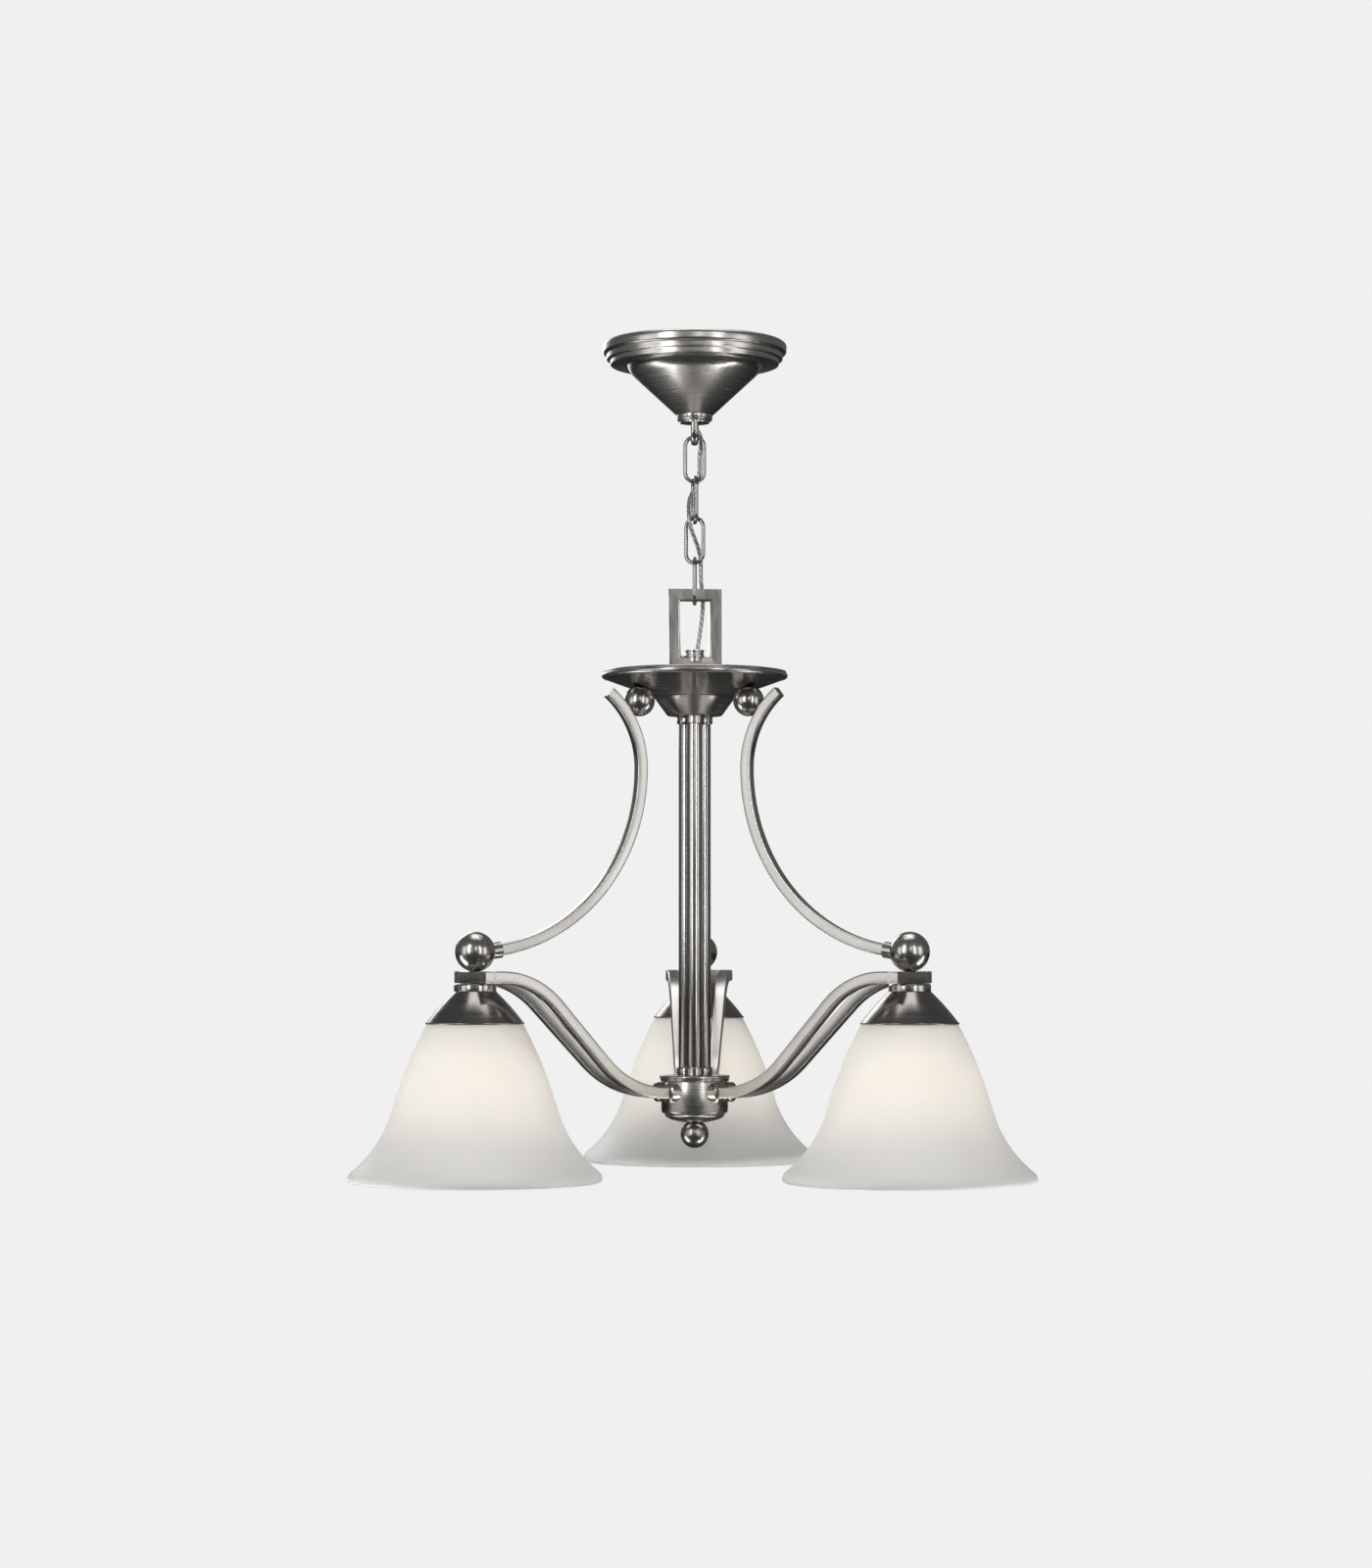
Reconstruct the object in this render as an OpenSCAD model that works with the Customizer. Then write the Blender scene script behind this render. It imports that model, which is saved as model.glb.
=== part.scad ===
// Three-light hanging chandelier: a chain-hung column of three tubes, curved
// square-bar arms and three bell shades that open downwards.
// Millimetres, +Z up. The origin is the centre of the ceiling bracket's top face.

/* [Layout] */
// Distance from the column's axis to each lamp's axis
light_r = 198; // [165:1:240]
// Height the hub lies below the arms' outer ends
arm_rise = 93.8; // [80:0.2:120]
// Length of the straight run between the two bends of an upper strap
strap_straight = 0.6; // [0.4:0.2:40]

/* [Canopy] */
// Diameter of the ceiling canopy
canopy_d = 150; // [130:1:180]
// Height of the canopy, ceiling to its lower hole
canopy_h = 58.4; // [50:0.2:75]
// Thickness of the canopy's sheet metal
canopy_wall = 1; // [0.8:0.1:1.5]
// Height of the rolled rim at the canopy's edge
canopy_rim_h = 9.5; // [7:0.1:12]
// Height of each of the two steps under the rim
canopy_step_h = 4.3; // [3:0.1:5]
// How far each step stands in from the one above
canopy_step_in = 3.1; // [2:0.1:4]

/* [Ceiling bracket] */
// Length of the ceiling bracket
bracket_l = 106; // [90:1:112]
// Width of the ceiling bracket
bracket_w = 30; // [28:1:36]
// Thickness of the ceiling bracket's plate
bracket_t = 2; // [1.5:0.1:2.5]
// Distance between the middles of the two screw slots
slot_spacing = 79.4; // [70:0.1:84]
// Width of each screw slot
slot_w = 4.8; // [4.4:0.1:5.2]
// Length of each screw slot
slot_l = 19; // [10:0.5:20]

/* [Collar and canopy loop] */
// Diameter of the ring nut under the canopy
ring_nut_d = 29.2; // [28:0.1:40]
// Height of the ring nut
ring_nut_h = 5.6; // [4.5:0.1:9]
// Outer diameter of the canopy loop's threaded collar
collar_d = 24.4; // [23:0.1:25]
// Travel of the ring nut for one turn
collar_pitch = 1.5; // [1:0.1:2]
// Height of the canopy loop below the ring nut
canopy_loop_drop = 19.2; // [17:0.2:26]
// Thickness of the canopy loop's bar, in the loop's own plane
canopy_loop_bar = 5; // [4:0.1:5.6]

/* [Chain] */
// Outside length of a chain link
link_len = 39.9; // [34:0.1:50]
// Outside width of a chain link
link_w = 18.6; // [17:0.1:24]
// Diameter of the chain's wire
link_wire = 3.2; // [2.6:0.1:3.6]
// Gap kept where one link hangs in the next
link_gap = 0.4; // [0.3:0.05:0.6]

/* [Hang loop] */
// Outside width of the square loop on top of the fixture
loop_w = 41.2; // [38:0.2:52]
// Outside height of the square loop
loop_h = 62.6; // [54:0.2:80]
// Width of the square loop's bars, seen from the front
loop_bar = 8.4; // [6:0.1:9]
// Depth of the square loop, front to back
loop_depth = 6; // [5:0.1:6.6]
// Angle that the square loop is turned about the column's axis
loop_turn = 8; // [0:1:10]
// Diameter of the cord bushing that stands in the square loop
bushing_d = 16; // [14:0.2:19]

/* [Top dish] */
// Diameter of the dish under the square loop
dish_d = 152; // [136:1:180]
// Height of the dish, rim to underside
dish_h = 36.4; // [32:0.2:44]
// Thickness of the dish's sheet metal
dish_wall = 1.2; // [1:0.1:1.6]

/* [Column] */
// Diameter of each of the three column tubes
tube_d = 12.7; // [10:0.1:13.2]
// Wall of a column tube
tube_wall = 1; // [0.8:0.1:1.6]
// Distance from the column's axis to each tube's axis
tube_ring_r = 7.8; // [7.65:0.05:9.2]

/* [Hub] */
// Diameter of the hub's body
hub_d = 54.4; // [50:0.2:66]
// Height of the hub's body, lid to lower edge
hub_h = 31.6; // [28:0.2:42]
// Diameter of each round boss that an arm bar enters
boss_d = 16.2; // [14.6:0.1:17.4]
// How far a boss stands out from the hub
boss_out = 3.8; // [2.5:0.1:6]
// Diameter of the ball under the hub
finial_d = 23; // [18:0.2:30]

/* [Arms] */
// Side of the square bar that the arms are bent from
arm_bar = 9.5; // [8:0.1:10.2]
// Wall of the arms' square tube
arm_wall = 1.2; // [0.8:0.1:1.6]
// Radius of the bend near the hub
arm_bend_low = 79.3; // [60:0.1:90]
// Radius of the bend near the lamp
arm_bend_high = 71.1; // [60:0.1:90]
// Steepest slope of an arm
arm_slope = 46.4; // [42:0.1:58]
// Sideways distance from an arm's middle to each of its bars, at the hub
arm_half_in = 9.55; // [9.3:0.05:11]
// Sideways distance from an arm's middle to each of its bars, at the lamp
arm_half_out = 24; // [20:0.1:30]

/* [Upper straps] */
// Thickness of an upper strap, seen from the side
strap_t = 9; // [7:0.1:10.5]
// Width of an upper strap
strap_w = 8; // [6:0.1:9.5]
// Distance from the column's axis to a strap at its waist
strap_waist_r = 49.5; // [46:0.1:60]
// Radius of a strap's upper bend
strap_bend_top = 76; // [64:0.5:100]
// Angle of a strap's upper bend
strap_top_angle = 51.6; // [46:0.2:56]
// Diameter of the ball between each strap and the dish
up_ball_d = 25; // [20:0.2:27]
// Angle up a strap's upper bend at which that ball sits
up_ball_angle = 36; // [33:0.5:38]
// Diameter of the ball at the lamp
ball_d = 31.8; // [26:0.2:38]

/* [Lamp fitter] */
// Diameter of the plain ring on top of the shade cap
fit_ring_d = 33.6; // [31:0.2:38]
// Height of that ring
fit_ring_h = 6.4; // [5:0.1:9]
// Diameter of the shade cap at its lower edge
cap_d = 77.4; // [74:0.2:86]
// Thickness of the shade cap's sheet metal
cap_wall = 0.8; // [0.6:0.1:1.2]
// Outer diameter of the lamp socket
socket_d = 34; // [32.5:0.1:36]
// Height of the lamp socket
socket_h = 46; // [40:0.5:54]
// Diameter of the bulb's screw base
base_d = 26.2; // [25:0.1:26.6]
// Diameter of the bulb's glass
bulb_d = 60; // [50:0.5:64]

/* [Glass shade] */
// Thickness of the glass
glass_t = 3.2; // [2.5:0.1:4]
// Length of the long upper curve of the bell
bell_side = 71; // [60:0.5:90]
// Length of the flare below it
bell_flare = 59; // [44:0.5:66]
// Thickness of the rounded lip
lip_d = 5.4; // [4.6:0.1:6.4]

/* [Hidden] */
$fn = 96;
eps = 0.01;
fit = 0.1;          // gap around a piece that is screwed or pressed home
arms = 3;
arm_angles = [90, -30, -150];             // direction of each arm
nickel = "#b4b0a8";
dark_nickel = "#8c8880";
brass = "#c8a860";

// Collar, loop and chain stations, from the ceiling down
ring_gap = 0.2;                           // the canopy's sheet to the ring nut's own lip
ring_top_z = -canopy_h - ring_gap;
ring_bot_z = ring_top_z - ring_nut_h;
collar_bot_z = ring_bot_z - 1;
collar_top_z = -canopy_h + 9;
stem_r = 4.8;                             // threaded stem between bracket and collar
stem_bore_r = 3.3;
stem_nut_d = 13.6;
stem_nut_h = 3.4;
stem_top_z = stem_nut_h + 1.2;
stem_bot_z = collar_top_z - 12;
wire_hole_x = 17;                         // slot in the bracket that the wires pass
wire_hole_y = 9.6;
wire_hole_w = 5.4;
ground_x = 14;
ground_y = 9.4;
ground_d = 4.2;
connector_at = [[21, -18], [-21, -18], [27, 21]];
connector_z = -31;
lead_d = 2;
lead_path = [[0, 0, 4], [2, -3, 7], [5, -7, 7.6], [8, -9.4, 4], [9.6, -9.8, -1], [12.6, -11.4, -4.6],
    [16.8, -14.6, -6.4], [20.2, -17.4, -8.8], [21, -18, -12.6], [21, -18, -24]];
canopy_cone_top_r = canopy_d / 2 - 20;
canopy_hole_r = collar_d / 2 + 0.4;
canopy_loop_bot_z = ring_bot_z - canopy_loop_drop;
canopy_loop_mid_r = collar_d / 2 - 3.3;
canopy_loop_flat = 0.6;                   // half the flat on top of the loop bar's section
link_end_r = (link_w - link_wire) / 2;
link_pitch = link_len - 2 * link_wire - link_gap;
link_1_top_z = canopy_loop_bot_z + canopy_loop_bar + link_gap + link_wire;
link_turns = [0, 102, -24, 90];           // how each link hangs, turned about the chain's line
loop_top_z = link_1_top_z - 3 * link_pitch - link_len + link_wire + link_gap + loop_bar;
loop_bot_z = loop_top_z - loop_h;
loop_corner = 2;
bushing_bore_r = 4.2;
bushing_up = 5.8;                         // bushing above the loop's lower bar
pipe_r = 6.4;

// Dish
dish_crown = 3.2;                         // how far the cover rises to its middle
cover_t = 1.2;
dish_top_z = loop_bot_z - dish_crown;
dish_bot_z = dish_top_z - dish_h;
pipe_low_z = dish_top_z - 8;
dish_bead_r = 2.5;
dish_saucer_slope = 20;                   // slope of the dish's wide upper part
dish_saucer_l = 42.4;
dish_foot_slope = 54;                     // slope of its steep lower part
function arc_drop(s, a, b) = s / (abs(b - a) * PI / 180) * abs(sin(b) - sin(a));
dish_foot_h = dish_h - cover_t - 2 * dish_bead_r - (dish_saucer_l - 1.6) * sin(dish_saucer_slope)
    - arc_drop(3.2, dish_saucer_slope - 90, dish_foot_slope - 90)
    - arc_drop(1.6, dish_foot_slope - 90, -90);

// Upper straps and the ball level
up_ball_rise = 10.6;                      // upper ball's centre above the dish's underside
up_ball_seat = 1;
up_ball_reach = strap_bend_top + strap_t / 2 + up_ball_d / 2 - up_ball_seat;
up_ball_z = dish_bot_z + up_ball_rise;
up_ball_r = strap_waist_r + strap_bend_top - up_ball_reach * cos(up_ball_angle);
strap_bend_z = up_ball_z - up_ball_reach * sin(up_ball_angle);
strap_bend_low = light_r - strap_waist_r;
ball_z = strap_bend_z - strap_straight - strap_bend_low;
strap_wall = 1.2;
strap_corner = 1.2;
ferrule_d = 13;
ferrule_l = 6.2;
strap_end_r = light_r - ball_d / 2 - 3;   // where a strap stops, inside its ferrule
ferrule_tilt = asin((ball_d / 2 + ferrule_l / 2) / strap_bend_low);
plug_plate = 1.4;

// Arms, hub
ball_seat = 0.45;
cross_z = ball_z - ball_d / 2 + ball_seat - arm_bar / 2;
arm_in_z = cross_z - arm_rise;
hub_lid_t = 4.8;
hub_over_arm = 13.4;                      // hub's top face above the arm bars' middle
hub_top_z = arm_in_z + hub_over_arm;
hub_bot_z = hub_top_z - hub_h;
hub_wall = 2.2;
hub_lid_over = 1.4;
hub_cap_d = hub_d - 8;
hub_cap_h = 4.4;
hub_dome_h = 2;
finial_stud_d = 6;
finial_z = hub_bot_z - hub_cap_h - hub_dome_h - finial_d / 2 + 1.6;
boss_r0 = hub_d / 2;
arm_fan = atan((arm_half_out - arm_half_in) / (light_r - boss_r0));
arm_corner = 1.2;
arm_slope_l = (arm_rise - (arm_bend_low + arm_bend_high) * (1 - cos(arm_slope))) / sin(arm_slope);
arm_run = (arm_bend_low + arm_bend_high) * sin(arm_slope) + arm_slope_l * cos(arm_slope);
arm_tip_r = light_r + arm_bar / 2;
arm_tip_l = (arm_tip_r - boss_r0) / cos(arm_fan);
arm_in_l = -7;                            // arm bar's end inside the hub
arm_level_l = 6.4;                        // level run out of the hub
rod_d = 6;
rod_nut_h = 5;

// Column
collar_h = 6.4;
collar_over = 1.45;
tube_angles = [-90, 30, 150];
dish_floor_z = dish_side()[len(dish_side()) - 1][0][1] + dish_wall;
rod_low_z = hub_top_z - hub_lid_t - rod_nut_h - 2;
rod_high_z = dish_bot_z + 2 * dish_wall + rod_nut_h + 1;

// Lamp
fit_ring_z = cross_z - arm_bar / 2;
cap_top_z = fit_ring_z - fit_ring_h;
cap_path = [[33.2, -10]];                 // the cap's slightly bowed side
cap_head = 46.3;
cap_end = walk(cap_path, [fit_ring_d / 2, cap_top_z], cap_head, 12)[12];
cap_scale = (cap_d - fit_ring_d) / 2 / (cap_end[0][0] - fit_ring_d / 2);
lamp_stem_r = 3.2;
lamp_stem_bore_r = 2.2;
socket_top_z = cap_top_z - cap_wall - 1.2;
socket_bot_z = socket_top_z - socket_h;
socket_wall = socket_d / 2 - base_d / 2 - 0.3;
glass_gap = 0.35;
glass_top_i = 4;                          // where the glass starts under the cap
neck_r = socket_d / 2 + 1.4;
shade_ring_z = glass_walk()[0][0][1] - glass_t * 1.1;
ring_t = 4.6;
ring_over = 5.2;
base_l = 25;
base_top_z = socket_bot_z + base_l - 1;
bulb_len = 104;

// Cord: a 3.2 mm jacketed lead threaded down the chain
cord_d = 3.2;
cord_pts = [[0, 0, -56], [0, 0, -60], [0, 0.6, -64], [0.8, 2.6, -67.4], [2.4, 4, -70.6],
    [4.2, 4.6, -74], [5.2, 4.4, -77.6], [5.2, 4, -81.4], [4.6, 3.8, -85.6], [4, 3.6, -90],
    [3.8, 3.6, -94], [3.8, 3.6, -98.6], [3.8, 3.8, -103.4], [3.4, 4, -108], [2.6, 4, -111.6],
    [1.2, 3.6, -115.2], [-0.4, 3.1, -118.6], [-2.2, 2.5, -121.8], [-3.6, 1.8, -124.8],
    [-4.4, 1, -127.6], [-4.8, 0, -131.2], [-5, -1.4, -135], [-4.8, -2.8, -138.6],
    [-4.6, -3.8, -142], [-4.2, -4, -145.6], [-3.4, -3.6, -149.6], [-2.2, -2.6, -153.4],
    [-0.8, -1.2, -157.2], [0.6, 0.4, -160.8], [2, 2, -164.4], [3.2, 3.4, -168.2],
    [4.2, 4.4, -172.2], [4.8, 4.9, -176.2], [5, 5, -180.4], [5, 4.8, -185], [5, 4.8, -189.6],
    [5.2, 5, -194], [5.6, 5.6, -198.4], [6.2, 6.4, -202.8], [6.6, 6.6, -207],
    [6.6, 6, -211.4], [6.4, 5, -216.4], [6, 3.8, -222], [5.4, 2.8, -228], [4.6, 2, -234],
    [3.8, 1.2, -240], [2.8, 0.6, -246], [2.2, 0.3, -251], [2, 0.2, -255]];
cord_cuts = [0, 10, 19, 28, 36, 48];      // the points where one stretch hands over to the next
cord_z = [-74.8, -201];                   // levels at which the chain starts and ends in that route
function hung_z(z) = z > cord_z[0] ? z - cord_z[0] + link_1_top_z :
    z < cord_z[1] ? z - cord_z[1] + loop_top_z + 1 :
    link_1_top_z + (z - cord_z[0]) / (cord_z[1] - cord_z[0]) * (loop_top_z + 1 - link_1_top_z);
function hung(p) = [for (e = p) [e[0], e[1], hung_z(e[2])]];

// Points and headings along arcs. A heading of 0 is straight down, 90 is straight out.
function arc_step(p, h, s, n) = abs(s[1]) < eps ? [[p + s[0] * [sin(h), -cos(h)], h]] :
    [for (i = [1:n]) let (a = s[1] * i / n, c = 2 * s[0] / (s[1] * PI / 180) * sin(a / 2))
    [p + c * [sin(h + a / 2), -cos(h + a / 2)], h + a]];
function walk(segs, p, h, n, k = 0) = k == len(segs) ? [] :
    let (own = arc_step(p, h, segs[k], n), last = own[len(own) - 1])
    concat(k == 0 ? [[p, h]] : [], own, walk(segs, last[0], last[1], n, k + 1));
function off(q, d) = [for (e = q) e[0] + d * [cos(e[1]), sin(e[1])]];
function flip(v) = [for (i = [len(v) - 1:-1:0]) v[i]];

// Outline of a sheet of even thickness whose outer face follows a walk
module sheet_outline(q, t) { polygon(concat(off(q, 0), flip(off(q, -t)))); }
module spun(q, t) { rotate_extrude() sheet_outline(q, t); }

// Square section with eased corners
module eased_square(x, y, c) {
    polygon(bar_section(x, y, c));
}
module tube(d, h, wall) {
    difference() {
        cylinder(d = d, h = h);
        translate([0, 0, -1]) cylinder(d = d - 2 * wall, h = h + 2);
    }
}
module hex(d, h) { cylinder(d = d, h = h, $fn = 6); }
module at_arm(k) { rotate([0, 0, arm_angles[k]]) children(); }
module at_light(k) { at_arm(k) translate([light_r, 0, 0]) children(); }
module at_lights() { for (k = [0:arms - 1]) at_light(k) children(); }

// Round cord or lead swept along its points
function unit(v) = v / norm(v);
function cord_dir(p, i) = unit(p[min(i + 1, len(p) - 1)] - p[max(i - 1, 0)]);
function ring_at(c, t, r, n) = let (u = unit(cross([0.02, 1, 0.03], t)), v = cross(t, u))
    [for (k = [0:n - 1]) c + r * (cos(k * 360 / n) * u + sin(k * 360 / n) * v)];
module skin(pts, n) {
    rows = len(pts) / n - 1;
    sides = [for (i = [0:rows - 1], k = [0:n - 1])
        let (a = i * n + k, b = i * n + (k + 1) % n) each [[a, a + n, b + n], [a, b + n, b]]];
    polyhedron(pts, concat(sides, [[for (k = [0:n - 1]) k]],
        [[for (k = [n - 1:-1:0]) rows * n + k]]));
}
module sweep(p, from, to, d, n = 8)
    skin([for (i = [from:to]) each ring_at(p[i], cord_dir(p, i), d / 2, n)], n);

// Bar of eased square section swept along a walk in the XZ plane
function bar_section(x, y, c) = [for (k = [0:3], a = c > 0 ? [0, 45, 90] : [0])
    let (s = [[1, 1], [-1, 1], [-1, -1], [1, -1]][k])
    [s[0] * (x / 2 - c), s[1] * (y / 2 - c)] + c * [cos(k * 90 + a), sin(k * 90 + a)]];
module swept_bar(q, x, y, c) {
    sec = bar_section(x, y, c);
    skin([for (e = q, v = sec) [e[0][0] + v[0] * cos(e[1]), -v[1], e[0][1] + v[0] * sin(e[1])]], len(sec));
}

// Ceiling bracket and what is inside the canopy
module slot(l, w) {
    for (s = [-1, 1]) translate([s * (l - w) / 2, 0, 0]) cylinder(d = w, h = 4 * bracket_t, center = true);
    cube([l - w, w, 4 * bracket_t], center = true);
}
module ceiling_bracket() color(brass) {
    translate([0, 0, -bracket_t]) difference() {
        union() {
            translate([-(bracket_l - bracket_w) / 2, -bracket_w / 2, 0])
                cube([bracket_l - bracket_w, bracket_w, bracket_t]);
            for (s = [-1, 1]) translate([s * (bracket_l - bracket_w) / 2, 0, 0])
                cylinder(d = bracket_w, h = bracket_t);
        }
        translate([0, 0, -1]) cylinder(r = stem_r + fit, h = bracket_t + 2);
        for (s = [-1, 1]) translate([s * slot_spacing / 2, 0, 0]) slot(slot_l, slot_w);
        translate([0, -wire_hole_y, 0]) slot(2 * wire_hole_x, wire_hole_w);
        translate([ground_x, ground_y, -1]) cylinder(d = ground_d + 2 * fit, h = bracket_t + 2);
    }
}
module threaded_stem() color(brass)
    translate([0, 0, stem_bot_z]) difference() {
        cylinder(r = stem_r, h = stem_top_z - stem_bot_z);
        translate([0, 0, -1]) cylinder(r = stem_bore_r, h = stem_top_z - stem_bot_z + 2);
    }
module nut_ring(d, h, bore_r) {
    difference() {
        hex(d, h);
        translate([0, 0, -1]) cylinder(r = bore_r, h = h + 2);
    }
}
module stem_nuts() color(brass) {
    translate([0, 0, -bracket_t - stem_nut_h]) nut_ring(stem_nut_d, stem_nut_h, stem_r + fit);
    nut_ring(stem_nut_d, stem_nut_h, stem_r + fit);
}
module ground_screw() color("#3f8f4a") translate([ground_x, ground_y, 0]) {
    translate([0, 0, -bracket_t]) cylinder(d = ground_d, h = bracket_t + 3);
    translate([0, 0, -bracket_t - 2.4]) hex(8, 2.4);
}
// Threaded collar with a closed loop under it; the loop lies in the YZ plane
module loop_bar_section() {
    for (s = [-1, 1]) translate([0, s * canopy_loop_flat]) circle(d = canopy_loop_bar);
    square([canopy_loop_bar, 2 * canopy_loop_flat], center = true);
}
module canopy_loop() color(nickel) {
    bow_z = canopy_loop_bot_z + canopy_loop_bar / 2 + canopy_loop_mid_r;
    difference() {
        translate([0, 0, collar_bot_z]) cylinder(d = collar_d, h = collar_top_z - collar_bot_z);
        translate([0, 0, stem_bot_z - 0.2]) cylinder(r = stem_r + fit, h = 30);
        translate([0, 0, collar_bot_z - 1]) cylinder(r = stem_bore_r, h = 30);
    }
    translate([0, 0, bow_z]) {
        rotate([0, 90, 0]) rotate([0, 0, -90]) rotate_extrude(angle = 180)
            translate([canopy_loop_mid_r, 0]) loop_bar_section();
        for (s = [-1, 1]) translate([0, s * canopy_loop_mid_r, 0]) rotate([0, 0, 90])
            linear_extrude(collar_bot_z - bow_z + 0.8) loop_bar_section();
    }
}
module wire_connectors() color("#d8922a") for (c = connector_at)
    translate([c[0], c[1], connector_z]) {
        difference() {
            cylinder(d1 = 8.4, d2 = 12.6, h = 19);
            translate([0, 0, 6]) cylinder(d = 6, h = 20);
        }
    }
module canopy_leads() {
    color("#c8c8c4") sweep([for (z = [hung_z(-56), -40, -20, -4, 5]) [0, 0, z]], 0, 4, cord_d);
    for (s = [-1, 1]) color(s < 0 ? "#222222" : "#eeeeee")
        sweep([for (p = lead_path) [s * p[0], p[1], p[2]]], 0, len(lead_path) - 1, lead_d);
}

// Canopy and its ring nut
function canopy_side() =
    let (r = canopy_d / 2, s = canopy_step_h, t = canopy_step_in, m = canopy_rim_h, b = m + 2 * s,
        bend = [for (i = [0:6]) let (a = 16 + 31 * i / 6)
            [canopy_cone_top_r - 19 * (cos(16) - cos(a)), -b - 19 * (sin(a) - sin(16))]])
    concat([[r - 2.6, 0], [r - 1.2, -0.8], [r - 0.3, -2], [r, -3.4], [r, -m + 2.4], [r - 0.4, -m + 1],
        [r - 1.4, -m], [r - t, -m], [r - t, -m - s], [r - 2 * t, -m - s], [r - 2 * t, -b]], bend,
        [[canopy_hole_r + 2.8, -canopy_h], [canopy_hole_r, -canopy_h]]);
module canopy() color(nickel) {
    side = canopy_side();
    n = len(side);
    inner = [for (i = [0:n - 1]) let (p = side[i])
        i == 0 ? p - [canopy_wall, 0] :
        i < 6 ? p - [canopy_wall, 0] :
        i < 11 ? p + canopy_wall * [-1, 1] :
        i < n - 2 ? p + canopy_wall * [-0.35, 1] : p + [0, canopy_wall]];
    rotate_extrude() polygon(concat(side, flip(inner)));
}
module canopy_ring_nut() color(nickel) {
    r = ring_nut_d / 2;
    rotate_extrude() polygon([[collar_d / 2 + fit / 2, ring_top_z], [r - 0.8, ring_top_z],
        [r, ring_top_z - 0.8], [r, ring_top_z - 2.2], [r - 0.7, ring_top_z - 2.6],
        [r - 0.7, ring_top_z - 3], [r, ring_top_z - 3.4], [r - 0.4, ring_bot_z + 1.2],
        [r - 1.6, ring_bot_z + 0.3], [r - 3, ring_bot_z], [collar_d / 2 + fit / 2, ring_bot_z]]);
}

// Chain
module chain_link(k) color(dark_nickel) {
    top = link_1_top_z - (k - 1) * link_pitch;
    leg = link_len - link_w;
    translate([0, 0, top - link_w / 2]) rotate([0, 0, link_turns[k - 1]]) {
        rotate([90, 0, 0]) rotate_extrude(angle = 180) translate([link_end_r, 0]) circle(d = link_wire);
        translate([0, 0, -leg]) rotate([-90, 0, 0]) rotate_extrude(angle = 180)
            translate([link_end_r, 0]) circle(d = link_wire);
        for (s = [-1, 1]) translate([s * link_end_r, 0, -leg]) cylinder(d = link_wire, h = leg);
    }
}
module cord(k) color("#c9c9c6") sweep(hung(cord_pts), cord_cuts[k - 1], cord_cuts[k], cord_d);

// Square loop and the cord's bushing
module hang_loop() color(nickel) rotate([0, 0, loop_turn]) {
    difference() {
        union() {
            for (z = [loop_top_z - loop_bar / 2, loop_bot_z + loop_bar / 2]) translate([0, 0, z])
                rotate([0, 90, 0]) linear_extrude(loop_w, center = true)
                    eased_square(loop_bar, loop_depth, loop_corner);
            for (s = [-1, 1]) translate([s * (loop_w - loop_bar) / 2, 0, loop_bot_z + loop_corner])
                linear_extrude(loop_h - 2 * loop_corner) eased_square(loop_bar, loop_depth, loop_corner / 2);
        }
        translate([0, 0, loop_bot_z - 1]) cylinder(r = pipe_r, h = loop_bar + 2);
    }
}
module cord_bushing() color(nickel) difference() {
    union() {
        translate([0, 0, loop_bot_z + loop_bar]) cylinder(d = bushing_d, h = bushing_up);
        translate([0, 0, pipe_low_z])
            cylinder(r = pipe_r - fit, h = loop_bot_z + loop_bar - pipe_low_z + eps);
    }
    translate([0, 0, dish_top_z - 9]) cylinder(r = bushing_bore_r, h = loop_h);
}

// Dish
function dish_side() = walk([[dish_saucer_l - 1.6, 0], [3.2, dish_foot_slope - dish_saucer_slope],
        [dish_foot_h / sin(dish_foot_slope), 0], [1.6, -dish_foot_slope]],
    [dish_d / 2 - dish_bead_r, dish_top_z - cover_t - 2 * dish_bead_r], dish_saucer_slope - 90, 4);
module top_dish() color(nickel) {
    side = dish_side();
    low = side[len(side) - 1][0];
    c = [dish_d / 2 - dish_bead_r, dish_top_z - cover_t - dish_bead_r];
    inner = off(side, -dish_wall);
    difference() {
        rotate_extrude() polygon(concat([[c[0] - 3, c[1] + dish_bead_r]],
            [for (a = [90:-15:-75]) c + dish_bead_r * [cos(a), sin(a)]], off(side, 0),
            [[0, low[1]], [0, low[1] + dish_wall]],
            [for (i = [len(inner) - 1:-1:1]) inner[i]], [[c[0] - 3, inner[0][1]]]));
        for (a = tube_angles) rotate([0, 0, a]) translate([tube_ring_r, 0, dish_bot_z - 1])
            cylinder(d = rod_d + 2 * fit, h = 12);
    }
}
module dish_cover() color(nickel) difference() {
    rotate_extrude() polygon([[0, loop_bot_z], [12, loop_bot_z], [dish_d / 2 - 1, dish_top_z],
        [dish_d / 2 - 1, dish_top_z - cover_t], [dish_d / 2 - 6, dish_top_z - cover_t],
        [12, loop_bot_z - cover_t], [0, loop_bot_z - cover_t]]);
    translate([0, 0, dish_top_z - 9]) cylinder(r = pipe_r, h = 20);
}

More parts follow.
